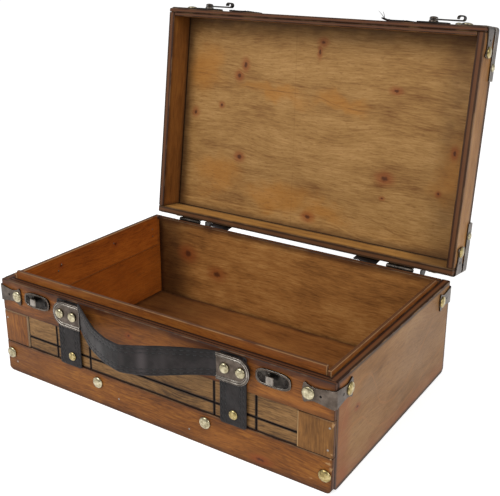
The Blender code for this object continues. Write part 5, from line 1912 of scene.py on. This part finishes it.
    def set_corner_heads(self, brass: Material, silvered: Material) -> tuple[Object, ...]:
        """Sets the tacks of the corner brackets and of the lid's caps.

        Args:
            brass: Yellow brass, for the tacks on the sides.
            silvered: Paler brass, for the others.

        Returns:
            The patterns.
        """
        bracket = self.pattern("bracket_tack_pattern", self.bracket_radius, self.bracket_rise)
        for body, spots in self.bracket_rows(self.bracket_at):
            for label, metal, on_side in (("front_and_back", silvered, False), ("side", brass, True)):
                self.set_heads(f"{body}_{label}_tacks", bracket, [
                    spot for spot in spots if (abs(spot.out.x) > 0.5) == on_side], metal, BRASS.slot, body)
        cap = self.pattern("cap_tack_pattern", self.cap_side_radius, self.cap_rise)
        spots = [*self.corner_spots(self.cap_side_at, TOP_Z - self.cap_flange / 2)]
        inset = Vector((BOX_LENGTH / 2 - self.cap_top_at, BOX_DEPTH / 2 - self.cap_top_at))
        spots += [Spot(Vector((x * inset.x, y * inset.y, TOP_Z + self.sheet_out)), Vector((0, 0, 1)),
                       self.cap_top_radius / self.cap_side_radius, x + y * 0.3)
                  for x in (-1, 1) for y in (-1, 1)]
        self.set_heads("lid_cap_tacks", cap, [self.opened(spot) for spot in spots], silvered, BRASS.slot,
                       "lid")
        return bracket, cap

    def set_screws(self, black: Material) -> Object:
        """Sets the screws of latches, catches, hinges and stops.

        Args:
            black: Their finish.

        Returns:
            The pattern.
        """
        screw = self.screw_pattern()
        back_y = BOX_DEPTH / 2 + self.hinge_face
        ends = [(side, sign) for side in SIDES for sign in (-1, 1)]
        for body, height in self.oval_heights:
            spots = [Spot(on_front(LATCH_X[side] + sign * self.oval_screw_at, height, self.oval_face),
                          TO_FRONT, spin=sign + height * 40) for side, sign in ends]
            reach = self.hinge_screw_reach if body == "lid" else -self.hinge_screw_reach
            spots += [Spot(Vector((HINGE_X[side] + sign * self.hinge_screw_at, back_y, HINGE.z + reach)),
                           TO_BACK, self.small_screw, sign * 2) for side, sign in ends]
            if body == "base":
                spots += [Spot(Vector((HINGE_X[side] + self.stop_screw[0], *self.stop_screw[1:])), TO_BACK,
                               self.small_screw, 1.1) for side in SIDES]
            else:
                spots = [self.opened(spot) for spot in spots]
            self.set_heads(f"{body}_screws", screw, spots, black, STEEL.slot, body)
        return screw

    def set_nails(self, wire: Material, black: Material) -> Object:
        """Sets the wire nails of the front and the left lip, and the small nails of the brackets.

        Args:
            wire: Bright wire.
            black: The finish of the brackets' nails.

        Returns:
            The pattern.
        """
        nail = self.pattern("nail_pattern", self.nail_radius, self.nail_rise)
        spots = [Spot(on_front(x, z, 0.0), TO_FRONT) for x, z in self.front_nails]
        spots += [Spot(Vector((self.lip_inner_x, y, z)), Vector((1, 0, 0))) for y, z in self.left_nails]
        self.set_heads("wire_nails", nail, spots, wire, STEEL.slot, "base")
        for body, spots in self.bracket_rows(self.bracket_hole_at):
            sunk = [Spot(spot.at - spot.out * self.nail_sink, spot.out) for spot in spots]
            self.set_heads(f"{body}_bracket_nails", nail, sunk, black, STEEL.slot, body)
        return nail

    def bracket_rows(self, reach: float) -> Iterable[tuple[str, list[Spot]]]:
        """The places on the brackets of each body, with the lid open.

        Args:
            reach: Distance from the corner.

        Yields:
            The body's name and its places, first the base's.
        """
        yield "base", list(self.corner_spots(reach, BASE_HEIGHT - self.bracket_from_rim))
        yield "lid", [self.opened(spot) for spot in self.corner_spots(reach, LID_Z + self.bracket_from_rim)]

    def corner_spots(self, reach: float, height: float) -> Iterable[Spot]:
        """The places on both faces of each corner, with the lid shut.

        Args:
            reach: Distance from the corner.
            height: Height in the closed box.

        Yields:
            One place for each face.
        """
        half_x, half_y = BOX_LENGTH / 2, BOX_DEPTH / 2
        for x in (-1, 1):
            for y in (-1, 1):
                yield Spot(Vector((x * (half_x - reach), y * (half_y + self.sheet_out), height)),
                           Vector((0, y, 0)), spin=x * 2.1 + y)
                yield Spot(Vector((x * (half_x + self.sheet_out), y * (half_y - reach), height)),
                           Vector((x, 0, 0)), spin=y * 1.7 + x)

    def opened(self, spot: Spot) -> Spot:
        """The same spot with the lid open."""
        return Spot(OPEN @ spot.at, OPEN.to_3x3() @ spot.out, spot.size, spot.spin)


@dataclass(frozen=True)
class Lamp:
    """A square soft lamp: where it stands, its side in metres, its power in watts and what it aims at."""

    name: str
    place: Place
    size: float
    power: float
    aim: Place = (0, 0, 0.1)

    def hang(self) -> None:
        """Puts the lamp into the scene."""
        data = bpy.data.lights.new(self.name, "AREA")
        data.shape, data.size, data.energy = "SQUARE", self.size, self.power
        lamp = new_object(self.name, data)
        lamp.location = self.place
        lamp.rotation_euler = (Vector(self.aim) - Vector(self.place)).to_track_quat("-Z", "Y").to_euler()


@dataclass
class Studio:
    """The photograph's view, fitted to its corner points, a pale floor and soft light."""

    azimuth_deg: float = 33.402
    height_deg: float = 19.162
    roll_deg: float = 0.103
    place: Place = (0.4119, -0.5833, 0.3967)
    focal_px: float = 835.1
    frame_px: tuple[int, int] = (500, 496)
    centre_row_px: float = 223.82
    sensor_mm: float = 36.0
    floor_half: float = 20.0
    floor_z: float = -0.0002
    floor_code: str = "#e8e8e8"
    floor_glow: float = 0.62
    sky_strength: float = 0.52
    lamps: tuple[Lamp, ...] = (
        Lamp("key", (-0.6, -1.4, 1.6), 1.1, 21.5), Lamp("fill", (1.7, -0.6, 1.1), 1.2, 12.5))

    def build(self) -> None:
        """Makes camera, floor, world and lamps."""
        self.set_camera()
        self.lay_floor()
        self.light()

    def set_camera(self) -> None:
        """Places the camera."""
        turn, lift, roll = (math.radians(a) for a in (self.azimuth_deg, self.height_deg, self.roll_deg))
        back = Vector((math.sin(turn) * math.cos(lift), -math.cos(turn) * math.cos(lift), math.sin(lift)))
        level = Vector((math.cos(turn), math.sin(turn), 0))
        upright = back.cross(level)
        right = level * math.cos(roll) + upright * math.sin(roll)
        up = upright * math.cos(roll) - level * math.sin(roll)
        data = bpy.data.cameras.new("photo_view")
        data.sensor_width = self.sensor_mm
        data.lens = self.focal_px * self.sensor_mm / self.frame_px[0]
        data.shift_y = (self.centre_row_px - self.frame_px[1] / 2) / self.frame_px[0]
        data.clip_start, data.clip_end = 0.01, 100
        camera = new_object("photo_view", data)
        camera.matrix_world = Matrix((
            (right.x, up.x, back.x, self.place[0]), (right.y, up.y, back.y, self.place[1]),
            (right.z, up.z, back.z, self.place[2]), (0, 0, 0, 1)))
        bpy.context.scene.camera = camera

    def lay_floor(self) -> None:
        """Lays a wide pale floor, white to the camera except where the object shades it."""
        bm = bmesh.new()
        bmesh.ops.create_grid(bm, x_segments=1, y_segments=1, size=self.floor_half)
        bmesh.ops.translate(bm, vec=(0, 0, self.floor_z), verts=bm.verts)
        mesh = bpy.data.meshes.new("floor")
        bm.to_mesh(mesh)
        bm.free()
        floor = new_object("floor", mesh)
        material, tree, shader = new_material("matt_white_paper")
        feed(tree, shader, {
            "Base Color": hex_color(self.floor_code), "Roughness": 0.9, "Specular IOR Level": 0.0})
        rays = add_node(tree, "ShaderNodeLightPath").outputs
        seen = add_node(tree, MATH, {0: rays["Is Camera Ray"], 1: rays["Is Glossy Ray"]}, operation="MAXIMUM")
        glow = add_node(tree, "ShaderNodeEmission", {
            "Color": (1, 1, 1, 1),
            "Strength": add_node(tree, MATH, {0: seen, 1: self.floor_glow}, operation="MULTIPLY")})
        feed(tree, tree.nodes["Material Output"], {
            "Surface": add_node(tree, "ShaderNodeAddShader", {0: shader, 1: glow})})
        floor.data.materials.append(material)

    def light(self) -> None:
        """Sets a white surround, a large soft lamp before the box and another at its right."""
        world = bpy.data.worlds.new("studio")
        world.use_nodes = True
        bpy.context.scene.world = world
        tree = world.node_tree
        rays = add_node(tree, "ShaderNodeLightPath").outputs
        seen = add_node(tree, MATH, {0: rays["Is Camera Ray"], 1: rays["Is Transmission Ray"]},
                        operation="MAXIMUM")
        feed(tree, tree.nodes["Background"], {
            "Color": (1, 1, 1, 1), "Strength": add_node(tree, RANGE, {
                "Value": seen, "To Min": self.sky_strength})})
        for lamp in self.lamps:
            lamp.hang()
        bpy.context.scene.view_settings.view_transform = "Standard"


def main() -> None:
    """Builds the sub-assemblies in order."""
    logging.basicConfig(level=logging.INFO, format="%(name)s: %(message)s")
    for part in (Studio(), WoodenBox(), SheetMetal(), LeatherWork(), Tacks()):
        part.build()
        LOG.info("built %s", type(part).__name__)


if __name__ == "__main__":
    main()
